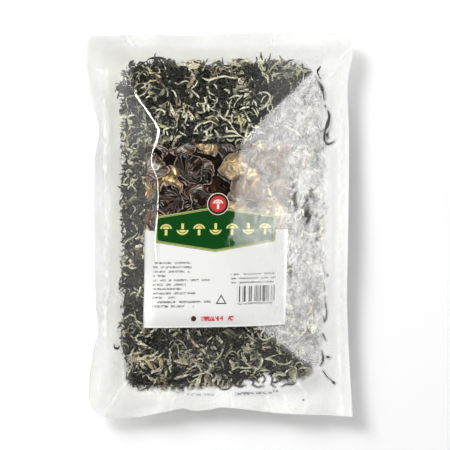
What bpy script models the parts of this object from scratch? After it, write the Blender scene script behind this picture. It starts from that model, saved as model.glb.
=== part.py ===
"""Sealed clear pouch of shredded dried wood ear mushroom, lying on its back.

Two film webs are heat-sealed round the rim. A printed paper label lies loose under the
front web, above the packed shreds, and a few single shreds lie out in the empty margins.
The pouch lies along Y with +Z up. The origin is under the middle of its outline, on the
surface it rests on. Sizes below are in millimetres.
"""

import math

import bmesh
import bpy

MM = 0.001
MIDDLE = (-0.284, 0.134)  # of the outline below, which goes over the origin

# Outline of the sealed rim: each edge swings in and out where the film buckles.
LEFT_EDGE = [(-189, -125), (-170, -130.3), (-130, -126.5), (-103, -121.5), (-74, -123.5),
             (66, -124.5), (97, -120.5), (133, -129.3), (165, -132.3), (190, -131.5)]
RIGHT_EDGE = [(-190, 132), (-178, 131.2), (-130, 128.6), (-74, 126.5), (0, 127.5),
              (90, 128.5), (136, 126.8), (150, 127.8), (168, 131.4), (190, 131.4)]
BOTTOM_EDGE = [(-131, -188), (-108, -192.2), (-84, -191.5), (-60, -186.8), (-37, -182.6),
               (-28, -185), (-12, -184.2), (0, -181.6), (20, -183), (52, -187),
               (84, -188.5), (132, -190.8)]
TOP_EDGE = [(-132, 188.6), (-108, 189.5), (-80, 191.4), (-30, 189.6), (40, 192.4),
            (110, 192.4), (132, 190.5)]
CORNER_TUCK = {(1, 1): 9.0, (-1, 1): 3.0, (-1, -1): 6.0, (1, -1): 1.0}

# Film webs
FILM_THICKNESS = 0.15
WEB_GAP = 0.3          # between the webs where they are sealed
SEAL_WIDTH = 8.0
RIM_HEIGHT = 20.0      # the packed shreds hold the rim up off the surface
FILM_CELLS = (20, 28)

# The filled pouch is a low hip roof: a nearly flat top, three long sides, and a steep left
# side that falls away from a crease
TOP_HEIGHT = 50.0
TOP_SIDE = (25.5, 0.307, 163.0)      # height at the foot, slope, place of the foot
BOTTOM_SIDE = (20.3, 0.407, -161.0)
RIGHT_SIDE = (23.4, 0.306, 104.5)
RIDGE_SOFTNESS = 4.0
CREASE = [(-165, -92), (-150, -83), (-125, -73), (-75, -64), (-35, -63.5), (-14, -64.6),
          (11, -62.3), (44, -62.4), (66, -68.4), (92, -61.5), (110, -71), (128, -83.4),
          (150, -92), (170, -98)]    # along Y, and its X
CREASE_WIDTH = 9.0
LOWEST_FRONT = 20.0
FRONT_RISE = 26.0      # the front web climbs from the seal to the roof over this width,
RIGHT_RISE = 16.0      # over this one on the right,
BACK_RISE = 50.0       # and the back web drops to the surface over this one

# Label
LABEL_FOOT = (-76.3, 64.1)   # left and right at its foot
LABEL_HEAD = (-73.8, 69.1)   # and at its head, wider because it drapes
LABEL_Y = (-101.0, 80.4)
LABEL_LIFT = 3.0             # its foot's right end lies higher up the pouch
LABEL_THICKNESS = 0.15
LABEL_DEPTH = 1.1      # below the outside of the front web
LABEL_CELLS = (10, 12)

# Packed shreds: their outline, as X over Y at the sides and Y over X at the ends
FILL_LEFT = [(-166, -93.5), (-140, -93.5), (-105, -99.5), (-60, -98.5), (25, -98), (70, -98.5),
             (125, -99.5), (150, -101.5), (163, -100)]
FILL_RIGHT = [(-160, 88), (-140, 96.5), (-105, 99.5), (-50, 102.5), (30, 103.5), (65, 102.5),
              (105, 99.5), (135, 97.5), (158, 89)]
FILL_BOTTOM = [(-100, -156), (-92, -161), (-78, -163.5), (-30, -162.5), (20, -161),
               (45, -159.5), (62, -158.5), (80, -151.5), (96, -143)]
FILL_TOP = [(-104, 152), (-95, 157), (-85, 162), (-70, 165.5), (-20, 163.5), (38, 165.5),
            (70, 163.5), (85, 159.5), (96, 150)]
FILL_CORNERS = {(1, 1): 8.0, (-1, 1): 8.0, (-1, -1): 8.0, (1, -1): 8.0}
FILL_DEPTH = 2.5       # below the outside of the front web
FILL_LIFT = 3.0        # above the outside of the back web
FILL_CELLS = (16, 24)

# Single shreds in the margins: half width, half thickness, and points along the strip
LOOSE_SHREDS = [
    (0.65, 0.28, [(100.4, 159.0), (98.2, 156.4), (96.9, 153.6), (98.2, 149.4), (99.8, 146.0)]),
    (0.75, 0.30, [(94.2, 149.8), (97.6, 142.9), (100.9, 137.6), (103.6, 126.0)]),
    (0.80, 0.30, [(107.0, 115.2), (108.6, 108.6), (106.2, 99.2), (104.2, 92.4),
                  (103.9, 85.8), (106.2, 81.4), (110.2, 82.0), (113.6, 84.2)]),
    (0.60, 0.25, [(107.4, 93.4), (106.4, 90.2), (107.6, 87.2)]),
    (0.65, 0.28, [(104.2, -71.4), (104.6, -78.5), (106.0, -86.0), (105.6, -92.5),
                  (104.0, -95.8)]),
    (0.60, 0.28, [(102.0, -108.0), (103.8, -112.2), (105.2, -114.7)]),
    (0.70, 0.30, [(100.8, -125.4), (102.4, -130.8), (101.6, -136.2), (99.9, -139.0)]),
    (0.70, 0.28, [(105.6, -131.0), (109.4, -131.9)]),
    (0.60, 0.28, [(102.4, -145.3), (106.6, -151.2), (111.8, -155.6), (114.2, -158.4)]),
    (0.65, 0.28, [(-106.3, -118.2), (-105.4, -122.0), (-102.2, -122.6), (-100.6, -119.8)]),
]

SOURCE_COLOURS = {
    "front_film": ((0.93, 0.95, 0.95), 0.08, 0.92),
    "back_film": ((0.93, 0.94, 0.94), 0.20, 0.60),
    "label": ((0.86, 0.86, 0.84), 0.45, 0.0),
    "packed_shreds": ((0.035, 0.035, 0.030), 0.60, 0.0),
    "loose_shred": ((0.050, 0.048, 0.042), 0.55, 0.0),
}


def through(stations, t):
    """A smooth curve through (position, value) stations, level past both ends."""
    if t <= stations[0][0]:
        return stations[0][1]
    if t >= stations[-1][0]:
        return stations[-1][1]
    for i in range(len(stations) - 1):
        (a, va), (b, vb) = stations[i], stations[i + 1]
        if t <= b:
            break

    def slope(k):
        lo, hi = max(k - 1, 0), min(k + 1, len(stations) - 1)
        return (stations[hi][1] - stations[lo][1]) / (stations[hi][0] - stations[lo][0])

    s, w = (t - a) / (b - a), b - a
    return ((2 * s**3 - 3 * s**2 + 1) * va + (s**3 - 2 * s**2 + s) * w * slope(i)
            + (3 * s**2 - 2 * s**3) * vb + (s**3 - s**2) * w * slope(i + 1))


def soft_min(a, b, k):
    h = max(k - abs(a - b), 0.0) / k
    return min(a, b) - h * h * k / 4


def smooth_step(t):
    t = min(max(t, 0.0), 1.0)
    return t * t * (3 - 2 * t)


def ramp(t, w):
    """Zero, then a slope of 1, with a bend of width w between."""
    return 0.0 if t < 0 else (t * t / (2 * w) if t < w else t - w / 2)


def tucked(x, y, u, v, width, length, corners):
    """The point drawn in where it is near a corner, so that the corner is round."""
    for (sx, sy), reach in corners.items():
        across = (1 - u if sx > 0 else u) * width
        along = (1 - v if sy > 0 else v) * length
        tuck = 0.29 * reach * max(1 - across / reach, 0) * max(1 - along / reach, 0)
        x -= sx * tuck
        y -= sy * tuck
    return x, y


def on_pouch(u, v):
    """The place in plan of a point given as shares of the pouch's width and length."""
    y = -187.5 + 378 * v
    x = (1 - u) * through(LEFT_EDGE, y) + u * through(RIGHT_EDGE, y)
    y = (1 - v) * through(BOTTOM_EDGE, x) + v * through(TOP_EDGE, x)
    return tucked(x, y, u, v, 258, 380, CORNER_TUCK)


def edge_distances(x, y):
    return (x - through(LEFT_EDGE, y), through(RIGHT_EDGE, y) - x,
            y - through(BOTTOM_EDGE, x), through(TOP_EDGE, x) - y)


def inset(x, y):
    """How far inside the rim a point lies, with soft corners."""
    left, right, bottom, top = edge_distances(x, y)
    return max(soft_min(soft_min(left, right, 6), soft_min(bottom, top, 6), 6), 0.0)


def rim_height(x, y):
    """The sealed rim isn't level: it rises and dips where the outline swings."""
    left, right, bottom, top = (math.exp(-max(d, 0) / 25) for d in edge_distances(x, y))
    return (RIM_HEIGHT
            + left * 2.6 * math.sin(y / 26.0 + 0.6)
            + right * 1.5 * math.sin(y / 31.0 + 1.9)
            + bottom * 2.2 * math.sin(x / 10.5 + 0.4)
            + top * 1.3 * math.sin(x / 19.0 + 2.0))


def roof_height(x, y):
    height = TOP_HEIGHT - 0.0003 * (x + 8) ** 2 - 0.00006 * y**2
    foot, slope, start = TOP_SIDE
    height = soft_min(height, foot + slope * (start - y), RIDGE_SOFTNESS)
    foot, slope, start = BOTTOM_SIDE
    height = soft_min(height, foot + slope * (y - start), RIDGE_SOFTNESS)
    foot, slope, start = RIGHT_SIDE
    slope -= 0.034 * math.exp(-(((y + 22) / 48) ** 2))
    height = soft_min(height, foot + slope * (start - x), RIDGE_SOFTNESS)
    # The left side is steep along the middle, and eases off towards both ends
    drop = 0.70 - 0.45 * smooth_step((y - 122) / 22) - 0.42 * smooth_step((-62 - y) / 45)
    run = through(CREASE, y) + CREASE_WIDTH / 2 - x
    height -= drop * ramp(run, CREASE_WIDTH)
    return -soft_min(-height, -LOWEST_FRONT, 6.0)


def front_height(x, y):
    """Outside of the front web."""
    seam = rim_height(x, y) + WEB_GAP / 2 + FILM_THICKNESS
    reach = FRONT_RISE + (RIGHT_RISE - FRONT_RISE) * smooth_step((x - 60) / 35)
    return seam + (roof_height(x, y) - seam) * smooth_step((inset(x, y) - SEAL_WIDTH) / reach)


def back_height(x, y):
    """Outside of the back web: truly flat where the pouch rests."""
    seam = rim_height(x, y) - WEB_GAP / 2 - FILM_THICKNESS
    return seam * (1 - smooth_step((inset(x, y) - SEAL_WIDTH) / BACK_RISE))


def metres(x, y, z):
    return (x - MIDDLE[0]) * MM, (y - MIDDLE[1]) * MM, z * MM


def grid_of(mesh, cells, place):
    """A grid whose points go where place(u, v) says, in millimetres."""
    made = bmesh.ops.create_grid(mesh, x_segments=cells[0], y_segments=cells[1], size=1.0)
    for vertex in made["verts"]:
        u, v = (vertex.co.x + 1) / 2, (vertex.co.y + 1) / 2
        vertex.co = metres(*place(u, v))
    return made["verts"]


def new_object(name, mesh, collection, kind):
    data = bpy.data.meshes.new(name)
    mesh.to_mesh(data)
    mesh.free()
    data.shade_smooth()
    obj = bpy.data.objects.new(name, data)
    collection.objects.link(obj)
    obj.data.materials.append(material(name, kind))
    return obj


def material(name, kind):
    colour, roughness, transmission = SOURCE_COLOURS[kind]
    made = bpy.data.materials.new(name)
    made.use_nodes = True
    shader = made.node_tree.nodes["Principled BSDF"]
    shader.inputs["Base Color"].default_value = (*colour, 1)
    shader.inputs["Roughness"].default_value = roughness
    shader.inputs["Metallic"].default_value = 0.0
    shader.inputs["Transmission Weight"].default_value = transmission
    made.diffuse_color = (*colour, 1)
    return made


def thicken(obj, thickness, offset):
    solid = obj.modifiers.new("Thickness", "SOLIDIFY")
    solid.thickness = thickness * MM
    solid.offset = offset


def build_films(collection):
    for name, height, offset in (("front_film", front_height, -1.0),
                                 ("back_film", back_height, 1.0)):
        mesh = bmesh.new()

        def place(u, v):
            x, y = on_pouch(u, v)
            return x, y, height(x, y)

        grid_of(mesh, FILM_CELLS, place)
        thicken(new_object(name, mesh, collection, name), FILM_THICKNESS, offset)


def build_label(collection):
    def place(u, v):
        y = LABEL_Y[0] + (LABEL_Y[1] - LABEL_Y[0]) * v + LABEL_LIFT * (1 - v) * u * u
        left, right = (foot + (head - foot) * v for foot, head in zip(LABEL_FOOT, LABEL_HEAD))
        x = left + (right - left) * u
        return x, y, front_height(x, y) - LABEL_DEPTH

    mesh = bmesh.new()
    grid_of(mesh, LABEL_CELLS, place)
    thicken(new_object("label", mesh, collection, "label"), LABEL_THICKNESS, -1.0)


def fill_place(u, v):
    """The place in plan of a point given as shares of the packed shreds' width and length."""
    y = -160 + 320 * v
    x = (1 - u) * through(FILL_LEFT, y) + u * through(FILL_RIGHT, y)
    y = (1 - v) * through(FILL_BOTTOM, x) + v * through(FILL_TOP, x)
    return tucked(x, y, u, v, 200, 325, FILL_CORNERS)


def build_fill(collection):
    def top(u, v):
        x, y = fill_place(u, v)
        return x, y, front_height(x, y) - FILL_DEPTH

    def bottom(u, v):
        x, y = fill_place(u, v)
        return x, y, back_height(x, y) + FILL_LIFT

    mesh = bmesh.new()
    grid_of(mesh, FILL_CELLS, top)
    grid_of(mesh, FILL_CELLS, bottom)
    rims = [edge for edge in mesh.edges if edge.is_boundary]
    bmesh.ops.bridge_loops(mesh, edges=rims)
    bmesh.ops.recalc_face_normals(mesh, faces=mesh.faces)
    new_object("packed_shreds", mesh, collection, "packed_shreds")


def build_loose_shreds(collection):
    for number, (half_width, half_thickness, points) in enumerate(LOOSE_SHREDS, 1):
        name = f"loose_shred_{number:02d}"
        data = bpy.data.curves.new(name, "CURVE")
        data.dimensions = "3D"
        data.twist_mode = "Z_UP"
        data.extrude = (half_width - half_thickness) * MM
        data.bevel_depth = half_thickness * MM
        data.bevel_resolution = 0
        data.use_fill_caps = True
        line = data.splines.new("POLY")
        line.points.add(len(points) - 1)
        for point, (x, y) in zip(line.points, points):
            z = (front_height(x, y) + back_height(x, y)) / 2
            point.co = (*metres(x, y, z), 1)
            point.tilt = math.pi / 2
        obj = bpy.data.objects.new(name, data)
        collection.objects.link(obj)
        data.materials.append(material(name, "loose_shred"))


def main():
    for obj in list(bpy.data.objects):
        bpy.data.objects.remove(obj, do_unlink=True)
    collection = bpy.data.collections.new("wood_ear_pouch")
    bpy.context.scene.collection.children.link(collection)
    build_films(collection)
    build_label(collection)
    build_fill(collection)
    build_loose_shreds(collection)


main()
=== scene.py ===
"""Looks of a sealed clear pouch of shredded dried wood ear mushroom, lying on its back."""

import math

import bpy
import numpy as np
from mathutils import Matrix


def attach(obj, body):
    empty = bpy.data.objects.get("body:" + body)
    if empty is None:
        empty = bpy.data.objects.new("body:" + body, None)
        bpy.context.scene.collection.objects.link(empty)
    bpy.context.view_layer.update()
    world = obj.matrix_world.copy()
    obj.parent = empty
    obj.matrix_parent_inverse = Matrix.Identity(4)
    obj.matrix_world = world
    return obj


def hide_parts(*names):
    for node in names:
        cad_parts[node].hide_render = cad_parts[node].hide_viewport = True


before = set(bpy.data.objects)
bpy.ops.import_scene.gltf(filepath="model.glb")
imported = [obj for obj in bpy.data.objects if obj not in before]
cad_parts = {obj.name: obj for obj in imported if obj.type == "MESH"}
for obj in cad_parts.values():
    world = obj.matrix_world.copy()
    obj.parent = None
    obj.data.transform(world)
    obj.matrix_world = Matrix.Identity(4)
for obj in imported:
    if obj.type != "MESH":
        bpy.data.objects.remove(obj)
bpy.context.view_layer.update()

MM = 0.001
MIDDLE = (-0.284, 0.134)

# ---------------------------------------------------------------------------
# The pouch's form, in millimetres: the same rules as the solid model's
# ---------------------------------------------------------------------------

LEFT_EDGE = [(-189, -125), (-170, -130.3), (-130, -126.5), (-103, -121.5), (-74, -123.5),
             (66, -124.5), (97, -120.5), (133, -129.3), (165, -132.3), (190, -131.5)]
RIGHT_EDGE = [(-190, 132), (-178, 131.2), (-130, 128.6), (-74, 126.5), (0, 127.5),
              (90, 128.5), (136, 126.8), (150, 127.8), (168, 131.4), (190, 131.4)]
BOTTOM_EDGE = [(-131, -188), (-108, -192.2), (-84, -191.5), (-60, -186.8), (-37, -182.6),
               (-28, -185), (-12, -184.2), (0, -181.6), (20, -183), (52, -187),
               (84, -188.5), (132, -190.8)]
TOP_EDGE = [(-132, 188.6), (-108, 189.5), (-80, 191.4), (-30, 189.6), (40, 192.4),
            (110, 192.4), (132, 190.5)]
CORNER_TUCK = {(1, 1): 9.0, (-1, 1): 3.0, (-1, -1): 6.0, (1, -1): 1.0}
FILM_THICKNESS, WEB_GAP, SEAL_WIDTH, RIM_HEIGHT = 0.15, 0.3, 8.0, 20.0
FRONT_RISE, BACK_RISE = 26.0, 50.0

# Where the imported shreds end, seen from above
FILL_LEFT = [(-166, -93.5), (-140, -93.5), (-105, -99.5), (-60, -98.5), (25, -98), (70, -98.5),
             (125, -99.5), (150, -101.5), (163, -100)]
FILL_RIGHT = [(-160, 88), (-140, 96.5), (-105, 99.5), (-50, 102.5), (30, 103.5), (65, 102.5),
              (105, 99.5), (135, 97.5), (158, 89)]
FILL_BOTTOM = [(-100, -156), (-92, -161), (-78, -163.5), (-30, -162.5), (20, -161),
               (45, -159.5), (62, -158.5), (80, -151.5), (96, -143)]
FILL_TOP = [(-104, 152), (-95, 157), (-85, 162), (-70, 165.5), (-20, 163.5), (38, 165.5),
            (70, 163.5), (85, 159.5), (96, 150)]
# The crease down the left of the pouch, as x over y
CREASE = [(-165, -92), (-150, -83), (-125, -73), (-75, -64), (-35, -63.5), (-14, -64.6),
          (11, -62.3), (44, -62.4), (66, -68.4), (92, -61.5), (110, -71), (128, -83.4),
          (150, -92), (170, -98)]


def through(stations, t):
    """A smooth curve through (position, value) stations, level past both ends."""
    at = np.array([s[0] for s in stations], float)
    value = np.array([s[1] for s in stations], float)
    slope = np.empty(len(at))
    slope[1:-1] = (value[2:] - value[:-2]) / (at[2:] - at[:-2])
    slope[0] = (value[1] - value[0]) / (at[1] - at[0])
    slope[-1] = (value[-1] - value[-2]) / (at[-1] - at[-2])
    t = np.clip(np.asarray(t, float), at[0], at[-1])
    i = np.clip(np.searchsorted(at, t) - 1, 0, len(at) - 2)
    w = at[i + 1] - at[i]
    s = (t - at[i]) / w
    return ((2 * s**3 - 3 * s**2 + 1) * value[i] + (s**3 - 2 * s**2 + s) * w * slope[i]
            + (3 * s**2 - 2 * s**3) * value[i + 1] + (s**3 - s**2) * w * slope[i + 1])


def soft_min(a, b, k):
    h = np.maximum(k - np.abs(a - b), 0) / k
    return np.minimum(a, b) - h * h * k / 4


def smooth_step(t):
    t = np.clip(t, 0, 1)
    return t * t * (3 - 2 * t)


def ramp(t, w):
    """Zero, then a slope of 1, with a bend of width w between."""
    return np.where(t < 0, 0, np.where(t < w, t * t / (2 * w), t - w / 2))


_tables = {}


def noise(x, y, cell, seed, stretch=1.0, turn=0.0):
    """Smooth noise from -1 to 1 with blobs of size cell, stretched along one way."""
    if seed not in _tables:
        _tables[seed] = np.random.default_rng(seed).uniform(-1, 1, (128, 128))
    table = _tables[seed]
    c, s = math.cos(turn), math.sin(turn)
    a, b = (x * c + y * s) / (cell * stretch), (y * c - x * s) / cell
    ia, ib = np.floor(a).astype(int), np.floor(b).astype(int)
    fa, fb = a - ia, b - ib
    fa, fb = (f**3 * (f * (f * 6 - 15) + 10) for f in (fa, fb))

    def at(p, q):
        return table[(ia + p) % 128, (ib + q) % 128]

    return ((at(0, 0) * (1 - fa) + at(1, 0) * fa) * (1 - fb)
            + (at(0, 1) * (1 - fa) + at(1, 1) * fa) * fb)


def tucked(x, y, u, v, width, length, corners):
    for (sx, sy), reach in corners.items():
        across = (1 - u if sx > 0 else u) * width
        along = (1 - v if sy > 0 else v) * length
        tuck = 0.29 * reach * np.maximum(1 - across / reach, 0)
        tuck = tuck * np.maximum(1 - along / reach, 0)
        x, y = x - sx * tuck, y - sy * tuck
    return x, y


def on_pouch(u, v):
    y = -187.5 + 378 * v
    x = (1 - u) * through(LEFT_EDGE, y) + u * through(RIGHT_EDGE, y)
    y = (1 - v) * through(BOTTOM_EDGE, x) + v * through(TOP_EDGE, x)
    return tucked(x, y, u, v, 258, 380, CORNER_TUCK)


def edge_distances(x, y):
    return (x - through(LEFT_EDGE, y), through(RIGHT_EDGE, y) - x,
            y - through(BOTTOM_EDGE, x), through(TOP_EDGE, x) - y)


def inset(x, y):
    left, right, bottom, top = edge_distances(x, y)
    return np.maximum(soft_min(soft_min(left, right, 6), soft_min(bottom, top, 6), 6), 0)


def rim_height(x, y):
    left, right, bottom, top = (np.exp(-np.maximum(d, 0) / 25) for d in edge_distances(x, y))
    return (RIM_HEIGHT
            + left * 2.6 * np.sin(y / 26.0 + 0.6)
            + right * 1.5 * np.sin(y / 31.0 + 1.9)
            + bottom * 2.2 * np.sin(x / 10.5 + 0.4)
            + top * 1.3 * np.sin(x / 19.0 + 2.0))


def roof_height(x, y):
    """The filled front: a low hip roof with a sharper crease on the left."""
    flat = 50.0 - 0.0003 * (x + 8) ** 2 - 0.00006 * y**2
    height = soft_min(flat, 25.5 + 0.307 * (163 - y), 3.0)
    height = soft_min(height, 20.3 + 0.407 * (y + 161), 3.0)
    lean = 0.306 - 0.034 * np.exp(-(((y + 22) / 48) ** 2))
    height = soft_min(height, 23.4 + lean * (104.5 - x), 1.8)
    bend = 4.6 + 1.2 * smooth_step((y - 84) / 20)
    drop = 0.70 - 0.45 * smooth_step((y - 122) / 22) - 0.42 * smooth_step((-62 - y) / 45)
    height = height - drop * ramp(through(CREASE, y) + bend / 2 - x, bend)
    return -soft_min(-height, -20.0, 6.0)


def fill_inset(x, y):
    """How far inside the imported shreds' edge a point lies, below 0 outside it."""
    side = soft_min(x - through(FILL_LEFT, y), through(FILL_RIGHT, y) - x, 8)
    end = soft_min(y - through(FILL_BOTTOM, x), through(FILL_TOP, x) - y, 8)
    return soft_min(side, end, 8)


def folds(x, y):
    """Soft folds in the loose film of the margins, which run in from the rim."""
    left, right, bottom, top = edge_distances(x, y)
    out = smooth_step(-(fill_inset(x, y) - 3) / 10)
    loose = out * smooth_step((inset(x, y) + 1) / 7)
    along_left = np.exp(-(((left - 10.5) / 2.6) ** 2)) * (0.30 + 0.4 * noise(x, y, 40, 21))
    along_left += 0.35 * np.exp(-(((left - 18) / 4.0) ** 2)) * (0.3 + noise(x, y, 30, 22))
    along_right = 0.7 * np.exp(-(((right - 9) / 2.5) ** 2)) * (0.6 + noise(x, y, 45, 23))
    along_right += 0.5 * np.exp(-(((right - 16) / 3.0) ** 2)) * noise(x, y, 26, 24)
    ends = np.exp(-np.maximum(np.minimum(top, bottom), 0) / 16)
    crosswise = ends * (0.7 * noise(x, y, 9, 25, 3.0, math.pi / 2 + 0.25)
                        + 0.5 * noise(x, y, 6, 26, 4.0, math.pi / 2 - 0.35))
    return loose * (along_left + along_right + crosswise)


def front_height(x, y, fine=True):
    seam = rim_height(x, y) + WEB_GAP / 2 + FILM_THICKNESS
    reach = FRONT_RISE - 10 * smooth_step((x - 60) / 35)
    rise = smooth_step((inset(x, y) - SEAL_WIDTH) / reach)
    height = seam + (roof_height(x, y) - seam) * rise
    if fine:
        height = height + folds(x, y)
    return height


def back_height(x, y):
    seam = rim_height(x, y) - WEB_GAP / 2 - FILM_THICKNESS
    return seam * (1 - smooth_step((inset(x, y) - SEAL_WIDTH) / BACK_RISE))


# ---------------------------------------------------------------------------
# Mesh helpers
# ---------------------------------------------------------------------------


def mesh_object(name, points, quads, smooth=True):
    """An object from points in millimetres and four-cornered faces."""
    mesh = bpy.data.meshes.new(name)
    mesh.vertices.add(len(points))
    placed = (points - np.array([MIDDLE[0], MIDDLE[1], 0.0])) * MM
    mesh.vertices.foreach_set("co", placed.astype(np.float32).ravel())
    mesh.loops.add(len(quads) * 4)
    mesh.loops.foreach_set("vertex_index", quads.astype(np.int32).ravel())
    mesh.polygons.add(len(quads))
    mesh.polygons.foreach_set("loop_start", np.arange(0, len(quads) * 4, 4, dtype=np.int32))
    mesh.update(calc_edges=True)
    mesh.validate()
    mesh.polygons.foreach_set("use_smooth", np.full(len(quads), smooth))
    obj = bpy.data.objects.new(name, mesh)
    bpy.context.scene.collection.objects.link(obj)
    return obj


def grid_quads(columns, rows):
    """Faces of a grid of columns × rows points, first along rows."""
    i, j = np.meshgrid(np.arange(columns - 1), np.arange(rows - 1), indexing="ij")
    a = (i * rows + j).ravel()
    return np.stack([a, a + rows, a + rows + 1, a + 1], 1)


def set_attribute(obj, name, values):
    made = obj.data.attributes.new(name, "FLOAT", "POINT")
    made.data.foreach_set("value", np.asarray(values, np.float32).ravel())


def set_colour(obj, name, red, green, blue):
    made = obj.data.attributes.new(name, "FLOAT_COLOR", "POINT")
    made.data.foreach_set("color", np.stack([red, green, blue, np.ones_like(red)], 1)
                          .astype(np.float32).ravel())


def set_uv(obj, uv, name="OFBake"):
    layer = obj.data.uv_layers.new(name=name)
    layer.uv.foreach_set("vector", uv.astype(np.float32).ravel())


def new_material(name):
    made = bpy.data.materials.new(name)
    made.use_nodes = True
    made.node_tree.nodes.clear()
    out = made.node_tree.nodes.new("ShaderNodeOutputMaterial")
    return made, made.node_tree, out


def node(tree, kind, **values):
    """A node with its named inputs set, or linked where the value is a socket."""
    made = tree.nodes.new("ShaderNode" + kind)
    for key, value in values.items():
        key = key.replace("_", " ")
        if isinstance(value, bpy.types.NodeSocket):
            tree.links.new(value, made.inputs[key])
        else:
            made.inputs[key].default_value = value
    return made


def maths(tree, operation, a, b=0.0, c=0.0, clamp=False):
    made = tree.nodes.new("ShaderNodeMath")
    made.operation, made.use_clamp = operation, clamp
    for socket, value in zip(made.inputs, (a, b, c)):
        if isinstance(value, bpy.types.NodeSocket):
            tree.links.new(value, socket)
        else:
            socket.default_value = value
    return made.outputs[0]


def mixed(tree, factor, a, b):
    """Colour a turned into colour b by factor."""
    made = tree.nodes.new("ShaderNodeMix")
    made.data_type = "RGBA"
    for socket, value in ((made.inputs["Factor"], factor), (made.inputs[6], a),
                          (made.inputs[7], b)):
        if isinstance(value, bpy.types.NodeSocket):
            tree.links.new(value, socket)
        elif isinstance(value, tuple):
            socket.default_value = (*value, 1)
        else:
            socket.default_value = value
    return made.outputs[2]


def ramped(tree, factor, stops, interpolation="LINEAR"):
    made = tree.nodes.new("ShaderNodeValToRGB")
    made.color_ramp.interpolation = interpolation
    elements = made.color_ramp.elements
    while len(elements) < len(stops):
        elements.new(0.5)
    for element, (position, colour) in zip(elements, stops):
        element.position, element.color = position, (*colour, 1)
    tree.links.new(factor, made.inputs["Fac"])
    return made.outputs["Color"]


def split(tree, vector):
    return node(tree, "SeparateXYZ", Vector=vector).outputs


# ---------------------------------------------------------------------------
# Materials
# ---------------------------------------------------------------------------


def film_material(name, gloss, shine_share=0.065, marked=False):
    """Thin clear film: mostly passed through, a share of gloss that grows towards grazing, the same
    from both sides, and a white haze whose strength is the mesh's own attribute; in places that
    haze carries painted light, painted highlights and painted reflection."""
    made, tree, out = new_material(name)
    haze = node(tree, "Attribute")
    haze.attribute_name = "haze"
    grain = node(tree, "TexNoise", Scale=900.0, Detail=2.0)
    coords = node(tree, "TexCoord")
    tree.links.new(coords.outputs["Object"], grain.inputs["Vector"])
    stretched = node(tree, "Mapping", Vector=coords.outputs["Object"], Scale=(1.0, 0.55, 1.0))
    fine = node(tree, "TexNoise", Vector=stretched.outputs[0], Scale=330.0, Detail=3.0,
                Roughness=0.55, Distortion=0.6)
    crinkle = node(tree, "Attribute")
    crinkle.attribute_name = "crinkle"
    height = maths(tree, "MULTIPLY", fine.outputs["Fac"], crinkle.outputs["Fac"])
    bump = node(tree, "Bump", Strength=1.0, Distance=0.001, Height=height)
    contact = node(tree, "TexNoise", Vector=stretched.outputs[0], Scale=330.0, Detail=4.0,
                   Roughness=0.7, Distortion=1.6)
    swirl = node(tree, "TexNoise", Vector=coords.outputs["Object"], Scale=210.0, Detail=3.0,
                 Roughness=0.6, Distortion=2.4)
    line = maths(tree, "ABSOLUTE", maths(tree, "SUBTRACT", swirl.outputs["Fac"], 0.5))
    lines = ramped(tree, line, [(0.0, (1, 1, 1)), (0.06, (0, 0, 0))])
    spotty = maths(tree, "MULTIPLY_ADD", lines, 0.35,
                   ramped(tree, contact.outputs["Fac"], [(0.36, (0, 0, 0)), (0.62, (1, 1, 1))]))
    # Where it is crinkled the haze is patchy too
    patchy = maths(tree, "MULTIPLY_ADD",
                   maths(tree, "MULTIPLY", maths(tree, "SUBTRACT", spotty, 0.55),
                         crinkle.outputs["Fac"]), 4.2, 1.0)
    grainy = maths(tree, "MULTIPLY_ADD", grain.outputs["Fac"], 0.5, 0.75)
    strength = maths(tree, "MULTIPLY", maths(tree, "MULTIPLY", haze.outputs["Fac"], grainy),
                     maths(tree, "MAXIMUM", patchy, 0.0), clamp=True)
    # The attribute read here holds the film's own see-through colour with painted shade laid into
    # it
    see_through_and_painted_shade = node(tree, "Attribute")
    see_through_and_painted_shade.attribute_name = "see_through_and_painted_shade"
    through_film, milky = see_through_and_painted_shade.outputs["Color"], (0.962, 0.962, 0.947)
    if marked:
        mark = code_marks(tree, coords.outputs["Object"])
        through_film = mixed(tree, mark, through_film, (0.05, 0.05, 0.05))
        milky = mixed(tree, mark, milky, (0.05, 0.05, 0.05))
    else:
        milky = (*milky, 1)
    white = node(tree, "BsdfDiffuse", Color=milky, Normal=bump.outputs[0])
    clear = node(tree, "BsdfTransparent", Color=through_film)
    body = node(tree, "MixShader", Fac=strength)
    tree.links.new(clear.outputs[0], body.inputs[1])
    tree.links.new(white.outputs[0], body.inputs[2])
    # Film that touches what is under it shines less than film over a gap
    shine = node(tree, "Attribute")
    shine.attribute_name = "shine"
    touching = maths(tree, "MULTIPLY", shine.outputs["Fac"],
                     maths(tree, "MULTIPLY_ADD", spotty, 0.42, 0.56))
    facing = node(tree, "LayerWeight", Blend=0.5)
    grazing = maths(tree, "POWER", facing.outputs["Facing"], 5.0)
    share = maths(tree, "MULTIPLY_ADD", grazing, 1 - shine_share,
                  maths(tree, "MULTIPLY", touching, shine_share), clamp=True)
    shine = node(tree, "BsdfGlossy", Color=(1.0, 0.992, 0.962, 1), Roughness=gloss,
                 Normal=bump.outputs[0])
    both = node(tree, "MixShader", Fac=share)
    tree.links.new(body.outputs[0], both.inputs[1])
    tree.links.new(shine.outputs[0], both.inputs[2])
    tree.links.new(both.outputs[0], out.inputs["Surface"])
    return made


MARKS = [(-33.5, -4.5, -170.2, -167.6), (15.0, 33.5, -169.4, -166.4),
         (35.5, 51.5, -168.4, -166.0), (52.5, 58.0, -166.8, -163.6)]


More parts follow.
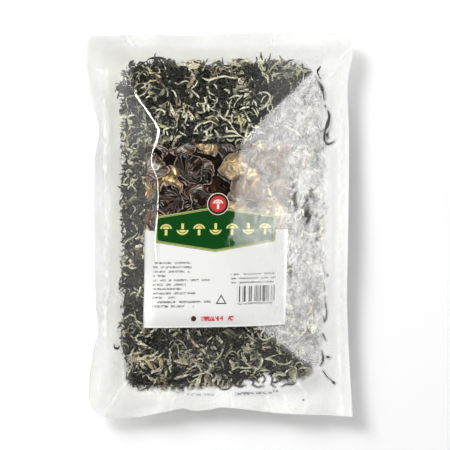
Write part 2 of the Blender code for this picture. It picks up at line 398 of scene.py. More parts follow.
def code_marks(tree, place):
    """Rows of faint dark dots low on the front, as a worn date stamp leaves; no characters."""
    size = node(tree, "Mapping", Vector=place, Scale=(1000.0, 1000.0, 1.0))
    x, y, _ = split(tree, size.outputs[0])
    dots = maths(tree, "GREATER_THAN", cells(tree, x, y, 1.0, 0.9, 7.0), 0.42)
    total = 0.0
    for low_x, high_x, low_y, high_y in MARKS:
        total = maths(tree, "MAXIMUM", total, box_mask(tree, x, y, low_x, high_x, low_y, high_y))
    faint = maths(tree, "MULTIPLY_ADD", maths(tree, "GREATER_THAN", x, 5.0), 0.25, 0.42)
    total = product(tree, total, dots, faint)
    away = maths(tree, "ADD", maths(tree, "POWER", maths(tree, "SUBTRACT", x, 83.0), 2.0),
                 maths(tree, "POWER", maths(tree, "ADD", y, 174.2), 2.0))
    return maths(tree, "MULTIPLY_ADD", maths(tree, "LESS_THAN", away, 1.2), 0.7, total)


DARK_TONES = [(0.0, (0.0016, 0.0017, 0.0030)), (0.35, (0.0040, 0.0037, 0.0066)),
              (0.60, (0.0065, 0.0066, 0.0068)), (0.78, (0.014, 0.013, 0.010)),
              (0.90, (0.040, 0.034, 0.022)), (1.0, (0.095, 0.066, 0.045))]
PALE_TONES = [(0.0, (0.090, 0.090, 0.055)), (0.2, (0.300, 0.288, 0.190)),
              (0.45, (0.560, 0.535, 0.375)), (0.65, (0.760, 0.725, 0.540)),
              (0.85, (0.850, 0.820, 0.650)), (0.93, (0.560, 0.400, 0.290)),
              (1.0, (0.560, 0.560, 0.230))]


BANDS = 24  # tones per face; each has a narrow column of the map, with room to go across


def shred_material():
    """Both faces of a shred. The map's x holds the face (dark below 0.5, pale above), the
    tone as one of BANDS columns, and the place across the strip within that column. Its y
    runs along the strip, so the streaks follow each one."""
    made, tree, out = new_material("dried_wood_ear")
    uv = tree.nodes.new("ShaderNodeUVMap")
    uv.uv_map = "OFBake"
    x, y, _ = split(tree, uv.outputs[0])
    pale = maths(tree, "GREATER_THAN", x, 0.5)
    column = maths(tree, "MULTIPLY", x, 2.0 * BANDS)
    tone = maths(tree, "DIVIDE", maths(tree, "FLOOR", maths(tree, "MODULO", column, BANDS)),
                 BANDS - 1.0)
    across = maths(tree, "FRACT", column)
    rim = maths(tree, "MULTIPLY", maths(tree, "ABSOLUTE", maths(tree, "SUBTRACT", across, 0.5)),
                2.0)
    place = node(tree, "CombineXYZ", X=maths(tree, "MULTIPLY", column, 1.3),
                 Y=maths(tree, "MULTIPLY", y, 30.0))
    mottle = node(tree, "TexNoise", Vector=place.outputs[0], Scale=1.0, Detail=3.0,
                  Roughness=0.6)
    tight = node(tree, "CombineXYZ", X=maths(tree, "MULTIPLY", column, 3.0),
                 Y=maths(tree, "MULTIPLY", y, 120.0))
    speck = node(tree, "TexNoise", Vector=tight.outputs[0], Scale=1.0, Detail=2.0)
    dark_colour = ramped(tree, tone, DARK_TONES)
    pale_colour = ramped(tree, tone, PALE_TONES)
    # The dark face is painted lighter at its edges: partly the pale underside where the cut edges
    # curl, partly painted highlight where they catch the light. A painted shade of a fold runs
    # along inside the pale face
    edge = ramped(tree, rim, [(0.70, (0, 0, 0)), (0.92, (1, 1, 1))])
    some = ramped(tree, mottle.outputs["Fac"], [(0.44, (0, 0, 0)), (0.60, (1, 1, 1))])
    dark_colour = mixed(tree, maths(tree, "MULTIPLY", edge, some), dark_colour,
                        (0.26, 0.245, 0.165))
    fold = ramped(tree, maths(tree, "MULTIPLY_ADD", mottle.outputs["Fac"], 1.4,
                              maths(tree, "SUBTRACT", rim, 0.75)),
                  [(0.00, (1, 1, 1)), (0.22, (0, 0, 0))])
    pale_colour = mixed(tree, maths(tree, "MULTIPLY", fold, 0.6), pale_colour,
                        (0.085, 0.080, 0.054))
    colour = mixed(tree, pale, dark_colour, pale_colour)
    dark_wear = maths(tree, "MULTIPLY_ADD", mottle.outputs["Fac"], 1.6, 0.2)
    pale_wear = maths(tree, "MULTIPLY_ADD", mottle.outputs["Fac"], 1.3, 0.35)
    wear = node(tree, "Mix", Factor=pale)
    tree.links.new(dark_wear, wear.inputs["A"])
    tree.links.new(pale_wear, wear.inputs["B"])
    grain = maths(tree, "MULTIPLY_ADD", speck.outputs["Fac"], 0.7, 0.65)
    worn = tree.nodes.new("ShaderNodeVectorMath")
    worn.operation = "SCALE"
    tree.links.new(colour, worn.inputs[0])
    tree.links.new(maths(tree, "MULTIPLY", wear.outputs[0], grain), worn.inputs["Scale"])
    bump = node(tree, "Bump", Strength=0.35, Distance=0.0003, Height=speck.outputs["Fac"])
    shader = node(tree, "BsdfPrincipled", Base_Color=worn.outputs[0],
                  Normal=bump.outputs[0], Specular_IOR_Level=0.12)
    rough = maths(tree, "MULTIPLY_ADD", mottle.outputs["Fac"], 0.25, 0.35)
    tree.links.new(rough, shader.inputs["Roughness"])
    tree.links.new(shader.outputs[0], out.inputs["Surface"])
    return made


def core_material():
    """The shreds too deep to be seen one by one."""
    made, tree, out = new_material("deep_shreds")
    coords = node(tree, "TexCoord")
    warp = node(tree, "TexNoise", Scale=120.0, Detail=2.0)
    tree.links.new(coords.outputs["Object"], warp.inputs["Vector"])
    place = tree.nodes.new("ShaderNodeVectorMath")
    place.operation = "MULTIPLY_ADD"
    tree.links.new(warp.outputs["Color"], place.inputs[0])
    place.inputs[1].default_value = (0.012, 0.012, 0.012)
    tree.links.new(coords.outputs["Object"], place.inputs[2])
    cells = node(tree, "TexVoronoi", Vector=place.outputs[0], Scale=260.0)
    colour = ramped(tree, cells.outputs["Distance"],
                    [(0.0, (0.030, 0.030, 0.024)), (0.35, (0.012, 0.012, 0.011)),
                     (1.0, (0.004, 0.004, 0.004))])
    shader = node(tree, "BsdfPrincipled", Base_Color=colour, Roughness=0.8)
    tree.links.new(shader.outputs[0], out.inputs["Surface"])
    return made


# ---------------------------------------------------------------------------
# Film webs
# ---------------------------------------------------------------------------


def film_grid(columns, rows, follow=False):
    """Grid points over the pouch. Those that follow the crease lie closer along it."""
    u, v = np.meshgrid(np.linspace(0, 1, columns), np.linspace(0, 1, rows), indexing="ij")
    if follow:
        at = 0.245
        u = u + 0.035 * np.sin(2 * np.pi * (u - at)) * np.exp(-(((u - at) / 0.2) ** 2))
        y = -187.5 + 378 * v
        left, right = through(LEFT_EDGE, y), through(RIGHT_EDGE, y)
        crease = (through(CREASE, y) - left) / (right - left)
        shift = smooth_step(u / at) * smooth_step((1 - u) / (1 - at))
        u = u + (crease - at) * shift
        u[0], u[-1] = 0.0, 1.0
    x, y = on_pouch(u.ravel(), v.ravel())
    return x, y


def pressed(x, y):
    """Small swells where the film lies on the shreds."""
    inside = smooth_step((fill_inset(x, y) + 4) / 10)
    swell = (0.16 * noise(x, y, 7.0, 31, 1.6, 1.2) + 0.10 * noise(x, y, 4.2, 32, 1.5, 0.5)
             + 0.22 * noise(x, y, 13.0, 33) + 0.10 * noise(x, y, 5.5, 34, 2.0, 1.7))
    taut = 1 - 0.98 * np.exp(-(((x - through(CREASE, y)) / 12) ** 4))
    return inside * swell * taut


def lower_right(x, y):
    """0 by the left and top margins, 1 by the right and bottom ones."""
    return smooth_step(0.5 + 0.5 * (x / 95 - y / 150))


# Painted highlights where the loose film is folded, laid into its white haze: a line's points, its
# half width, and how white
PAINTED_FOLD_HIGHLIGHTS = [
    ([(-115.8, 126), (-114.8, 90), (-115.2, 60), (-113.8, 20), (-114.4, -16), (-113.6, -74),
      (-116.4, -110)], 1.7, 0.42),
    ([(-111.6, 34), (-111.2, 0), (-111.8, -30), (-110.8, -64)], 1.0, 0.30),
    ([(-121.5, 154), (-118.5, 146), (-116.5, 137)], 4.5, 0.30),
    ([(-113.5, 157), (-114.5, 150)], 1.2, 0.35),
    ([(-95.0, 190), (-90.0, 184), (-85.5, 179)], 1.3, 0.50),
    ([(109.5, 150), (118.0, 163), (127.0, 176)], 1.2, 0.55),
    ([(119.5, 120), (120.5, 40), (119.5, -60), (120.5, -140)], 1.6, 0.30),
    ([(46.5, -172), (50.0, -179), (54.5, -187)], 1.2, 0.45),
    ([(63.5, -170), (66.0, -178), (69.5, -187)], 1.2, 0.50),
    ([(76.5, -157), (81.5, -162), (85.0, -168)], 1.1, 0.40),
    ([(-96.0, -158), (-104.0, -168), (-110.0, -180)], 1.2, 0.30),
    ([(10.0, -168), (13.0, -176), (12.0, -182)], 1.0, 0.28),
    ([(-45.0, -172), (-49.0, -180), (-50.0, -186)], 1.0, 0.28),
]


def painted_fold_highlights(x, y):
    total = np.zeros_like(x)
    x, y = (x + 1.3 * noise(x, y, 7, 93) + 0.5 * noise(x, y, 3, 94),
            y + 1.3 * noise(x, y, 7, 95))
    for points, half, white in PAINTED_FOLD_HIGHLIGHTS:
        half = half * (1.2 + 0.4 * noise(x, y, 5, 96))
        points = np.array(points, float)
        nearest = np.full_like(x, 1e9)
        for a, b in zip(points[:-1], points[1:]):
            t = np.clip(((x - a[0]) * (b - a)[0] + (y - a[1]) * (b - a)[1])
                        / ((b - a) @ (b - a)), 0, 1)
            nearest = np.minimum(nearest, np.hypot(x - a[0] - t * (b - a)[0],
                                                   y - a[1] - t * (b - a)[1]))
        total = np.maximum(total, white * np.exp(-((nearest / half) ** 2)))
    return total * (0.75 + 0.35 * noise(x, y, 7, 91))


def thinned_foot(x, y):
    """How far the foot's edge thins out to single shreds under loose film, in millimetres."""
    along = smooth_step((x - 4) / 10) * smooth_step((84 - x) / 10)
    deep = 1.5 + 8.0 * np.exp(-(((x - 42) / 17) ** 2)) + 3.2 * noise(x, y, 5, 63, 1.5, 0.6)
    deep = np.maximum(deep, 0) * along * smooth_step((-128 - y) / 8)
    left = smooth_step((x + 94) / 6) * smooth_step(-x / 12) * smooth_step((-151 - y) / 5)
    return deep + left * np.maximum(0.8 + 3.6 * noise(x, y, 2.3, 64, 2.4, 1.5), 0)


def ragged_inset(x, y):
    """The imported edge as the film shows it, uneven to the right and below."""
    uneven = 2.4 * noise(x, y, 6, 97, 1.6, 1.4) + 1.3 * noise(x, y, 2.6, 98, 1.8, 1.2)
    return fill_inset(x, y) + uneven * lower_right(x, y) - thinned_foot(x, y)


def near_shreds(x, y, shreds, reach):
    """1 over single shreds that lie against the film, falling to 0 past reach from them."""
    over = np.zeros_like(x)
    for width, _, points in shreds:
        points = np.array(points, float)
        nearest = np.full_like(x, 1e9)
        for a, b in zip(points[:-1], points[1:]):
            t = np.clip(((x - a[0]) * (b - a)[0] + (y - a[1]) * (b - a)[1])
                        / ((b - a) @ (b - a)), 0, 1)
            nearest = np.minimum(nearest, np.hypot(x - a[0] - t * (b - a)[0],
                                                   y - a[1] - t * (b - a)[1]))
        over = np.maximum(over, smooth_step((reach + 0.7 * width - nearest) / 1.4))
    return over


# Spots on the right slope where the film hardly shines: middle, half sizes, how dull
DULL_SPOTS = [(86.5, 11.0, 4.4, 9.5, 0.95), (73.5, 25.5, 2.0, 6.5, 0.85),
              (97.0, -4.0, 1.5, 7.0, 0.75), (83.5, 123.0, 1.2, 3.8, 0.7),
              (70.0, 46.0, 2.4, 2.4, 0.45), (92.0, 28.0, 2.7, 4.0, 0.6),
              (69.5, -45.0, 1.8, 5.5, 0.7), (66.0, 76.0, 4.0, 2.5, 0.3),
              (95.0, 66.0, 2.0, 6.0, 0.4), (78.0, -88.0, 3.0, 6.0, 0.35),
              (92.0, -150.0, 15.0, 6.0, 0.9), (100.0, 118.0, 2.5, 14.0, 0.5),
              (92.0, -70.0, 3.0, 5.0, 0.35), (88.0, -110.0, 3.0, 6.0, 0.4)]


def dull_spots(x, y):
    left = np.ones_like(x)
    for cx, cy, rx, ry, dull in DULL_SPOTS:
        away = ((x - cx) / rx) ** 2 + ((y - cy) / ry) ** 2
        ragged = np.clip(0.8 + 0.9 * noise(x, y, 2.6, 47, 2.0, 1.1), 0.1, 3)
        left = left * (1 - dull * np.exp(-away * ragged))
    return left


def front_haze_and_painted_light(x, y):
    seal = smooth_step((SEAL_WIDTH + 1.0 - inset(x, y)) / 2.0)
    free = smooth_step((0.8 - ragged_inset(x, y)) / 5)
    held = 1 - free
    free = free * (1 - 0.94 * near_shreds(x, y, LOOSE.values(), 1.2))
    free = free * (1 - 0.92 * near_shreds(x, y, EDGE_SHREDS, 0.8))
    close = np.exp(-((np.maximum(0.5 - fill_inset(x, y), 0) / 9) ** 2)) * free
    thin = smooth_step((7 - fill_inset(x, y)) / 7) * held
    corner = smooth_step((-82 - x) / 10) * smooth_step((y - 124) / 10) * held
    band = smooth_step((through(CREASE, y) - 2 - x) / 6) * held
    band = band * (1 + 2.2 * smooth_step((y - 65) / 30))
    far = smooth_step((x - 20) / 45) * smooth_step((y - 90) / 14) * held
    foot = smooth_step((x + 70) / 40) * smooth_step((-104 - y) / 14) * held
    foot = foot * (1 + 1.2 * smooth_step((x - 20) / 60))
    # White haze over the right slope, with wisps and dull spots: partly milky film, partly painted
    # reflection that whitens the slope as the film's reflection does
    right = 23.4 + 0.306 * (104.5 - x)
    ends = soft_min(25.5 + 0.307 * (163 - y), 21.5 + 0.407 * (y + 161), 1.0)
    slope = smooth_step((x - 10) / 60) * smooth_step((ends - right) / 2) * held
    wisps = np.clip(0.5 + noise(x, y, 3.2, 92, 3.5, 1.35), 0, 1) * slope
    on_slope = (0.13 * slope + 0.12 * wisps) * dull_spots(x, y)
    # Far more white haze by the right and bottom margins, and more again just outside the shreds
    # there, is painted light over the shade that falls on that side
    milky = 0.50 - 0.10 * smooth_step((-145 - y) / 15)
    near = 0.31 + 0.14 * smooth_step((-150 - y) / 8) * smooth_step((x - 5) / 15)
    hanging_and_painted_light = (0.02 + milky * lower_right(x, y)) * free + near * lower_right(x, y) * close
    hanging_and_painted_light = hanging_and_painted_light + 0.06 * free * smooth_step(fill_inset(x, y) / 2)
    return (0.0015 + 0.016 * band + 0.055 * far + 0.014 * foot + on_slope + hanging_and_painted_light
            + 0.035 * thin + 0.05 * corner + 0.06 * seal + painted_fold_highlights(x, y))


def by_crease(x, y, width):
    return (np.exp(-(((x - through(CREASE, y)) / width) ** 4))
            * smooth_step((y + 40) / 20) * smooth_step((131 - y) / 6))


def front_crinkle(x, y):
    """Fine creasing, strong on the long right slope where the film is drawn tight."""
    slope = smooth_step((x + 2) / 24) * smooth_step((fill_inset(x, y) + 3) / 5)
    slope = slope * (1 - 0.35 * smooth_step((-50 - y) / 40))
    return (0.010 + slope * (0.22 + 0.08 * noise(x, y, 11, 45, 2.5, 1.5))) * (
        1 - by_crease(x, y, 5))


def front_shine(x, y):
    """Weaker where the film clings to the label's plain part, and dull in the margins."""
    panel = (smooth_step((x + 78) / 3) * smooth_step((66 - x) / 4)
             * smooth_step((y + 101) / 3)
             * smooth_step((14 * smooth_step((x - 48) / 6) - 12 - y) / 12))
    side = smooth_step((-20 - x) / 40)
    free = smooth_step((2 + 6 * side - ragged_inset(x, y)) / 6)
    corner = smooth_step((y - 127) / 6) * smooth_step((-62 - x) / 10)
    low = smooth_step((-70 - y) / 12) * smooth_step((-62 - x) / 6)
    shine = (1.0 - 0.85 * panel) * (1 - 0.9 * np.maximum(corner, low))
    on_picture = (smooth_step(x / 8) * smooth_step((70 - x) / 4)
                  * smooth_step((y - 14) / 10) * smooth_step((82 - y) / 4))
    shine = shine * (1 - on_picture * np.clip(0.34 + 0.22 * noise(x, y, 10, 46), 0, 0.65))
    shine = shine * dull_spots(x, y) * (1 - 0.29 * smooth_step((-45 - y) / 45))
    plaque = smooth_step(x / 8) * smooth_step((24 - y) / 6) * smooth_step((y + 30) / 8)
    shine = shine * (1 - 0.16 * plaque * smooth_step((58 - x) / 6))
    shine = np.minimum(shine, 1 - (0.96 - 0.04 * smooth_step(x / 100)) * free)
    faint = smooth_step((58 - y) / 10) * smooth_step((y - 8) / 10)
    return shine + 0.9 * by_crease(x, y, 4) * (1 - 0.6 * faint)


# Where the loose film lets less light through, as painted shade on what shows beneath: middle, half
# sizes, how much less
MARGIN_PAINTED_SHADES = [(-124, 179, 18, 14, 0.062), (-103, 182, 17, 11, 0.070),
                 (-126, 146, 9, 22, 0.050), (-118, 75, 9, 34, 0.092), (-118, -5, 9, 26, 0.022),
                 (-118, -86, 9, 28, 0.050), (-110, -182, 16, 8, 0.020),
                 (-70, -179, 28, 11, 0.088), (-14, -181, 20, 9, 0.062),
                 (45, -180, 22, 8, -0.030), (117, 175, 17, 14, 0.070), (82, 172, 14, 8, 0.018),
                 (-30, 169, 60, 5, -0.010), (-48, 187, 25, 7, 0.050)]


def web_see_through_and_painted_shade(x, y):
    """How much of each colour one web lets through: less where it hangs loose, most so on the left
    and top and in soft spots, which is painted shade on what shows beneath; lighter beside the
    shreds on the left and top, which is painted light against their shade; and warmest beside the
    shreds."""
    out = -fill_inset(x, y)
    free = smooth_step((out + 4) / 8)
    left = smooth_step((70 - x) / 150)
    upper = 1 - lower_right(x, y)
    bottom = smooth_step((-148 - y) / 18)
    inner = smooth_step((inset(x, y) - 7) / 4)
    near = np.exp(-(np.maximum(out - 1.0, 0) / 7.5) ** 2)
    cloud = 0.5 * noise(x, y, 16, 81, 2.0, 1.5) + 0.4 * noise(x, y, 7, 82, 2.0, 1.4)
    top = smooth_step((y - 158) / 12)
    dim = 0.985 - free * (0.008 + 0.012 * upper - 0.014 * top
                          + (0.053 + 0.022 * (1 - inner)) * upper
                          + 0.034 * bottom * (1 - upper) + 0.014 * inner * left
                          + (0.006 - 0.064 * upper) * near + 0.010 * cloud * inner)
    for cx, cy, rx, ry, less in MARGIN_PAINTED_SHADES:
        dim = dim - free * less * np.exp(-((x - cx) / rx) ** 2 - ((y - cy) / ry) ** 2)
    return dim, dim - 0.001 * free, dim - 0.003 - free * (0.003 + 0.007 * left * inner
                                                         + near * (0.005 + 0.014 * left))


def back_haze_and_painted_light(x, y):
    """Milky where it hangs free of the shreds, clearer where they lie on it, and much milkier by
    the right and bottom, which is painted light over the shade that falls there.
    """
    free = smooth_step((5 - fill_inset(x, y)) / 8)
    return 0.12 + (0.06 + 0.80 * lower_right(x, y)) * free


def build_films():
    columns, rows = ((233, 341))
    x, y = film_grid(columns, rows, True)
    z = front_height(x, y) + pressed(x, y)
    front = mesh_object("clear_front_film", np.stack([x, y, z], 1), grid_quads(columns, rows))
    set_attribute(front, "haze", front_haze_and_painted_light(x, y))
    set_attribute(front, "crinkle", front_crinkle(x, y))
    set_attribute(front, "shine", front_shine(x, y))
    set_colour(front, "see_through_and_painted_shade", *web_see_through_and_painted_shade(x, y))
    front.data.materials.append(film_material("clear_film", 0.13, marked=True))
    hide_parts("front_film")

    columns, rows = (121, 177)
    x, y = film_grid(columns, rows)
    z = back_height(x, y)
    z = z + smooth_step(z / 6) * (0.5 * folds(x, y) + 0.8 * pressed(x, y))
    back = mesh_object("hazy_back_film", np.stack([x, y, z], 1),
                       grid_quads(columns, rows)[:, ::-1])
    set_attribute(back, "haze", back_haze_and_painted_light(x, y))
    set_attribute(back, "crinkle", np.full(len(x), 0.03))
    set_attribute(back, "shine", 1 - 0.88 * smooth_step((4 - fill_inset(x, y)) / 8))
    set_colour(back, "see_through_and_painted_shade", *web_see_through_and_painted_shade(x, y))
    back.data.materials.append(film_material("hazy_film", 0.2))
    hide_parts("back_film")
    for film in (front, back):
        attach(film, "root")


# ---------------------------------------------------------------------------
# Shreds
# ---------------------------------------------------------------------------


def strips(rng, centres, lengths, widths, segments, depth_of, pale_up, wiggle=0.2,
           flat=0.6, curl=1.0, cupped=False, reach=1.0):
    """Curled two-faced strips with narrowed ends, n of them round centres (n × 2). Each
    point's height comes from depth_of(x, y, lift, clearance), and pale_up is each one's
    chance of lying with its pale face up."""
    n = len(centres)

    def normal(spread):
        return rng.normal(0, spread, (n, 1))

    def uniform(low, high):
        return rng.uniform(low, high, (n, 1))

    s = np.linspace(0, 1, segments + 1)[None, :]
    hook = normal(1.6) * (rng.random((n, 1)) < 0.5) * curl
    bend = uniform(0.3, 2.6) * np.where(rng.random((n, 1)) < 0.5, -1, 1)
    psi = (uniform(0, 6.2832) + curl * bend * (s - 0.5)
           + curl * normal(0.7) * np.sin(6.2832 * s + uniform(0, 6.2832))
           + hook * np.maximum(s - 0.6, 0) ** 2 * 9
           + wiggle * normal(1) * np.sin(6.2832 * s * uniform(1.5, 3) + uniform(0, 6.2832)))
    step = (lengths / segments)[:, None]
    x = np.concatenate([np.zeros((n, 1)), np.cumsum((np.cos(psi) * step)[:, :-1], 1)], 1)
    y = np.concatenate([np.zeros((n, 1)), np.cumsum((np.sin(psi) * step)[:, :-1], 1)], 1)
    x = x - x.mean(1, keepdims=True) + centres[:, :1]
    y = y - y.mean(1, keepdims=True) + centres[:, 1:]
    # The film holds them in: what would stick out too far lies further in
    cx, cy = centres[:, :1], centres[:, 1:]
    gx = fill_inset(cx + 1, cy) - fill_inset(cx - 1, cy)
    gy = fill_inset(cx, cy + 1) - fill_inset(cx, cy - 1)
    size = np.maximum(np.hypot(gx, gy), 1e-6)
    slack = reach * np.abs(normal(2.4)) + 1.5 * noise(cx, cy, 8, 52) + 0.5
    over = np.minimum(fill_inset(x, y).min(1, keepdims=True) + slack, 0)
    x, y = x - over * gx / size, y - over * gy / size
    lift = normal(1.0) * np.sin(np.pi * s * uniform(0.7, 2.2) + uniform(0, 6.2832))
    roll = (np.where(rng.random((n, 1)) < pale_up[:, None], np.pi, 0) + normal(flat)
            + normal(1.5) * (s - 0.5) + 0.35 * normal(1) * np.sin(9 * s + uniform(0, 6.2832)))
    power = uniform(1.8, 7.0)
    lopsided = s + uniform(-0.25, 0.25) * np.sin(np.pi * s)
    taper = 1 - uniform(0.45, 0.92) * np.abs(2 * lopsided - 1) ** power
    taper = taper * (1 + 0.20 * np.sin(s * uniform(8, 24) + uniform(0, 6.2832)))
    half = widths[:, None] * np.maximum(taper, 0.12) / 2
    thick = uniform(0.12, 0.24) * (0.5 + 0.5 * taper)
    z = depth_of(x, y, lift, half * np.abs(np.sin(roll)) + thick)
    if cupped:
        cup = normal(0.7) + 0.5 * normal(1) * np.sin(5 * s + uniform(0, 6.2832))
        return ribbon(x, y, z, half, thick, roll, cup)
    return ribbon(x, y, z, half, thick, roll)


def ribbon(x, y, z, half, thick, roll, cup=None):
    """Points of strips round the lines x, y, z: n × stations × corners × 3. A strip has four
    corners across, or six where cup says how far its middle sinks below its two edges."""
    line = np.stack([x, y, z], 2)
    t = np.gradient(line, axis=1)
    t /= np.maximum(np.linalg.norm(t, axis=2, keepdims=True), 1e-9)
    up = np.array([0.0, 0.0, 1.0])
    b = np.cross(np.broadcast_to(up, t.shape), t)
    b /= np.maximum(np.linalg.norm(b, axis=2, keepdims=True), 1e-9)
    w = np.cross(t, b)
    c, r = np.cos(roll)[..., None], np.sin(roll)[..., None]
    side, face = c * b + r * w, -r * b + c * w
    half, thick = half[..., None], thick[..., None]
    if cup is None:
        return np.stack([line - side * half + face * thick, line + side * half + face * thick,
                         line + side * half - face * thick, line - side * half - face * thick],
                        2)
    rise = cup[..., None] * half
    high, low = line + face * rise * 0.5, line - face * rise * 0.5
    return np.stack([high - side * half + face * thick, low + face * thick,
                     high + side * half + face * thick, high + side * half - face * thick,
                     low - face * thick, high - side * half - face * thick], 2)


def strip_faces(n, segments, corners=4):
    """Faces of n strips: sides then the two ends, and which way each side looks: 0 dark face,
    1 edge, 2 pale face. Spot is where a side's corners lie across the strip."""
    k = np.arange(segments)
    ring = []
    for c in range(corners):
        d = (c + 1) % corners
        ring.append(np.stack([k * corners + c, (k + 1) * corners + c,
                              (k + 1) * corners + d, k * corners + d], 1))
    sides = np.concatenate(ring)[:, ::-1]
    last = segments * corners
    if corners == 4:
        looks, spots = [0, 1, 2, 1], [(0, 1), (1, 1), (1, 0), (0, 0)]
        ends = [[3, 2, 1, 0], [last, last + 1, last + 2, last + 3]]
    else:
        looks = [0, 0, 1, 2, 2, 1]
        spots = [(0, 0.5), (0.5, 1), (1, 1), (1, 0.5), (0.5, 0), (0, 0)]
        ends = [[5, 4, 1, 0], [4, 3, 2, 1], [last, last + 1, last + 4, last + 5],
                [last + 1, last + 2, last + 3, last + 4]]
    which = np.concatenate([np.repeat(looks, segments), np.ones(len(ends), int)])
    spot = np.concatenate([np.repeat(np.array(spots, float), segments, 0),
                           np.zeros((len(ends), 2))])
    one = np.concatenate([sides, np.array(ends)[:, ::-1]])
    first = np.zeros(len(ends) // 2, int)
    share = np.concatenate([np.tile(k, corners), first, first + segments - 1])
    offset = (np.arange(n) * (segments + 1) * corners)[:, None, None]
    return (one[None] + offset).reshape(-1, 4), which, share, spot


def strip_uv(rng, n, segments, which, share, spot, tones_dark, tones_pale, run):
    """Map of each strip: a narrow column of the tone map, run high."""
    faces = len(which)
    base_y = rng.uniform(0.02, 0.98 - run, n)[:, None, None]
    # Corner order of a side face: near-d, far-d, far-c, near-c after the flip
    along = np.array([0, 1, 1, 0])[None, None, :]
    across = spot[:, [1, 1, 0, 0]][None]
    y = base_y + run * (share[None, :, None] + along) / segments
    pale = (which == 2)[None, :, None]
    tone = np.where(pale, tones_pale[:, None, None], tones_dark[:, None, None])
    band = np.clip(np.floor(tone * BANDS), 0, BANDS - 1) + BANDS * pale
    x = (band + 0.06 + 0.88 * across) / (2 * BANDS)
    return np.stack([np.broadcast_to(x, (n, faces, 4)), np.broadcast_to(y, (n, faces, 4))], 3)


def strips_object(name, rng, rings, segments, tones_dark, tones_pale, material, smooth,
                  length_share=0.22):
    n, corners = len(rings), rings.shape[2]
    quads, which, share, spot = strip_faces(n, segments, corners)
    obj = mesh_object(name, rings.reshape(-1, 3), quads)
    uv = strip_uv(rng, n, segments, which, share, spot, tones_dark, tones_pale, length_share)
    set_uv(obj, uv.reshape(-1, 2))
    if not smooth:
        obj.data.set_sharp_from_angle(angle=math.radians(62))
    obj.data.materials.append(material)
    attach(obj, "root")
    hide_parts("packed_shreds")


def sparse(x, y):
    """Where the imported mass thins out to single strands, low on the right and at the tips."""
    low = np.exp(-(((x - 42) / 26) ** 2 + ((y + 156) / 12) ** 2) ** 2)
    tip = np.exp(-(((x - 92) / 14) ** 2 + ((y + 146) / 12) ** 2) ** 2)
    return 1.5 * np.maximum(low, tip) * np.clip(0.6 + noise(x, y, 7, 54), 0, 1)


def spread_points(rng, count, ragged, keep=None):
    """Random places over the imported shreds, with a ragged edge."""
    found = np.empty((0, 2))
    while len(found) < count:
        p = np.stack([rng.uniform(-106, 108, count), rng.uniform(-168, 170, count)], 1)
        edge = fill_inset(p[:, 0], p[:, 1]) - 7 * rng.random(count) * sparse(p[:, 0], p[:, 1])
        limit = ragged + 2.2 * noise(p[:, 0], p[:, 1], 9, 51) + rng.normal(0, 1.0, count)
        ok = edge > limit
        if keep is not None:
            ok &= keep(p[:, 0], p[:, 1])
        found = np.concatenate([found, p[ok]])
    return found[:count]


def under_front(rng, n, deepest, power=1.6):
    base = (rng.random((n, 1)) ** power) * deepest

    def depth_of(x, y, lift, clear):
        top = front_height(x, y) - 0.35 - 0.95 * near_label(x, y)
        low = back_height(x, y) + 0.45
        z = top - base - 1.3 - 0.9 * lift
        z = np.minimum(z, top - clear)
        return np.maximum(z, np.minimum(low + clear, (top + low) / 2))

    return depth_of


def over_back(rng, n, deepest, power=1.4):
    base = (rng.random((n, 1)) ** power) * deepest

    def depth_of(x, y, lift, clear):
        top = front_height(x, y) - 0.35
        low = back_height(x, y) + 0.35
        z = low + base + 1.2 + 0.9 * lift
        z = np.maximum(z, low + clear)
        return np.minimum(z, np.maximum(top - clear, (top + low) / 2))

    return depth_of


LABEL_X, LABEL_Y = (-75.5, 66.5), (-101.0, 80.4)


def near_label(x, y):
    return (smooth_step((x - LABEL_X[0] + 4) / 3) * smooth_step((LABEL_X[1] + 5 - x) / 3)
            * smooth_step((y - LABEL_Y[0] + 4) / 3) * smooth_step((LABEL_Y[1] + 4 - y) / 3))


def clear_of_label(x, y):
    under = ((x > LABEL_X[0] + 9) & (x < LABEL_X[1] - 9)
             & (y > LABEL_Y[0] + 9) & (y < LABEL_Y[1] - 9))
    return ~under


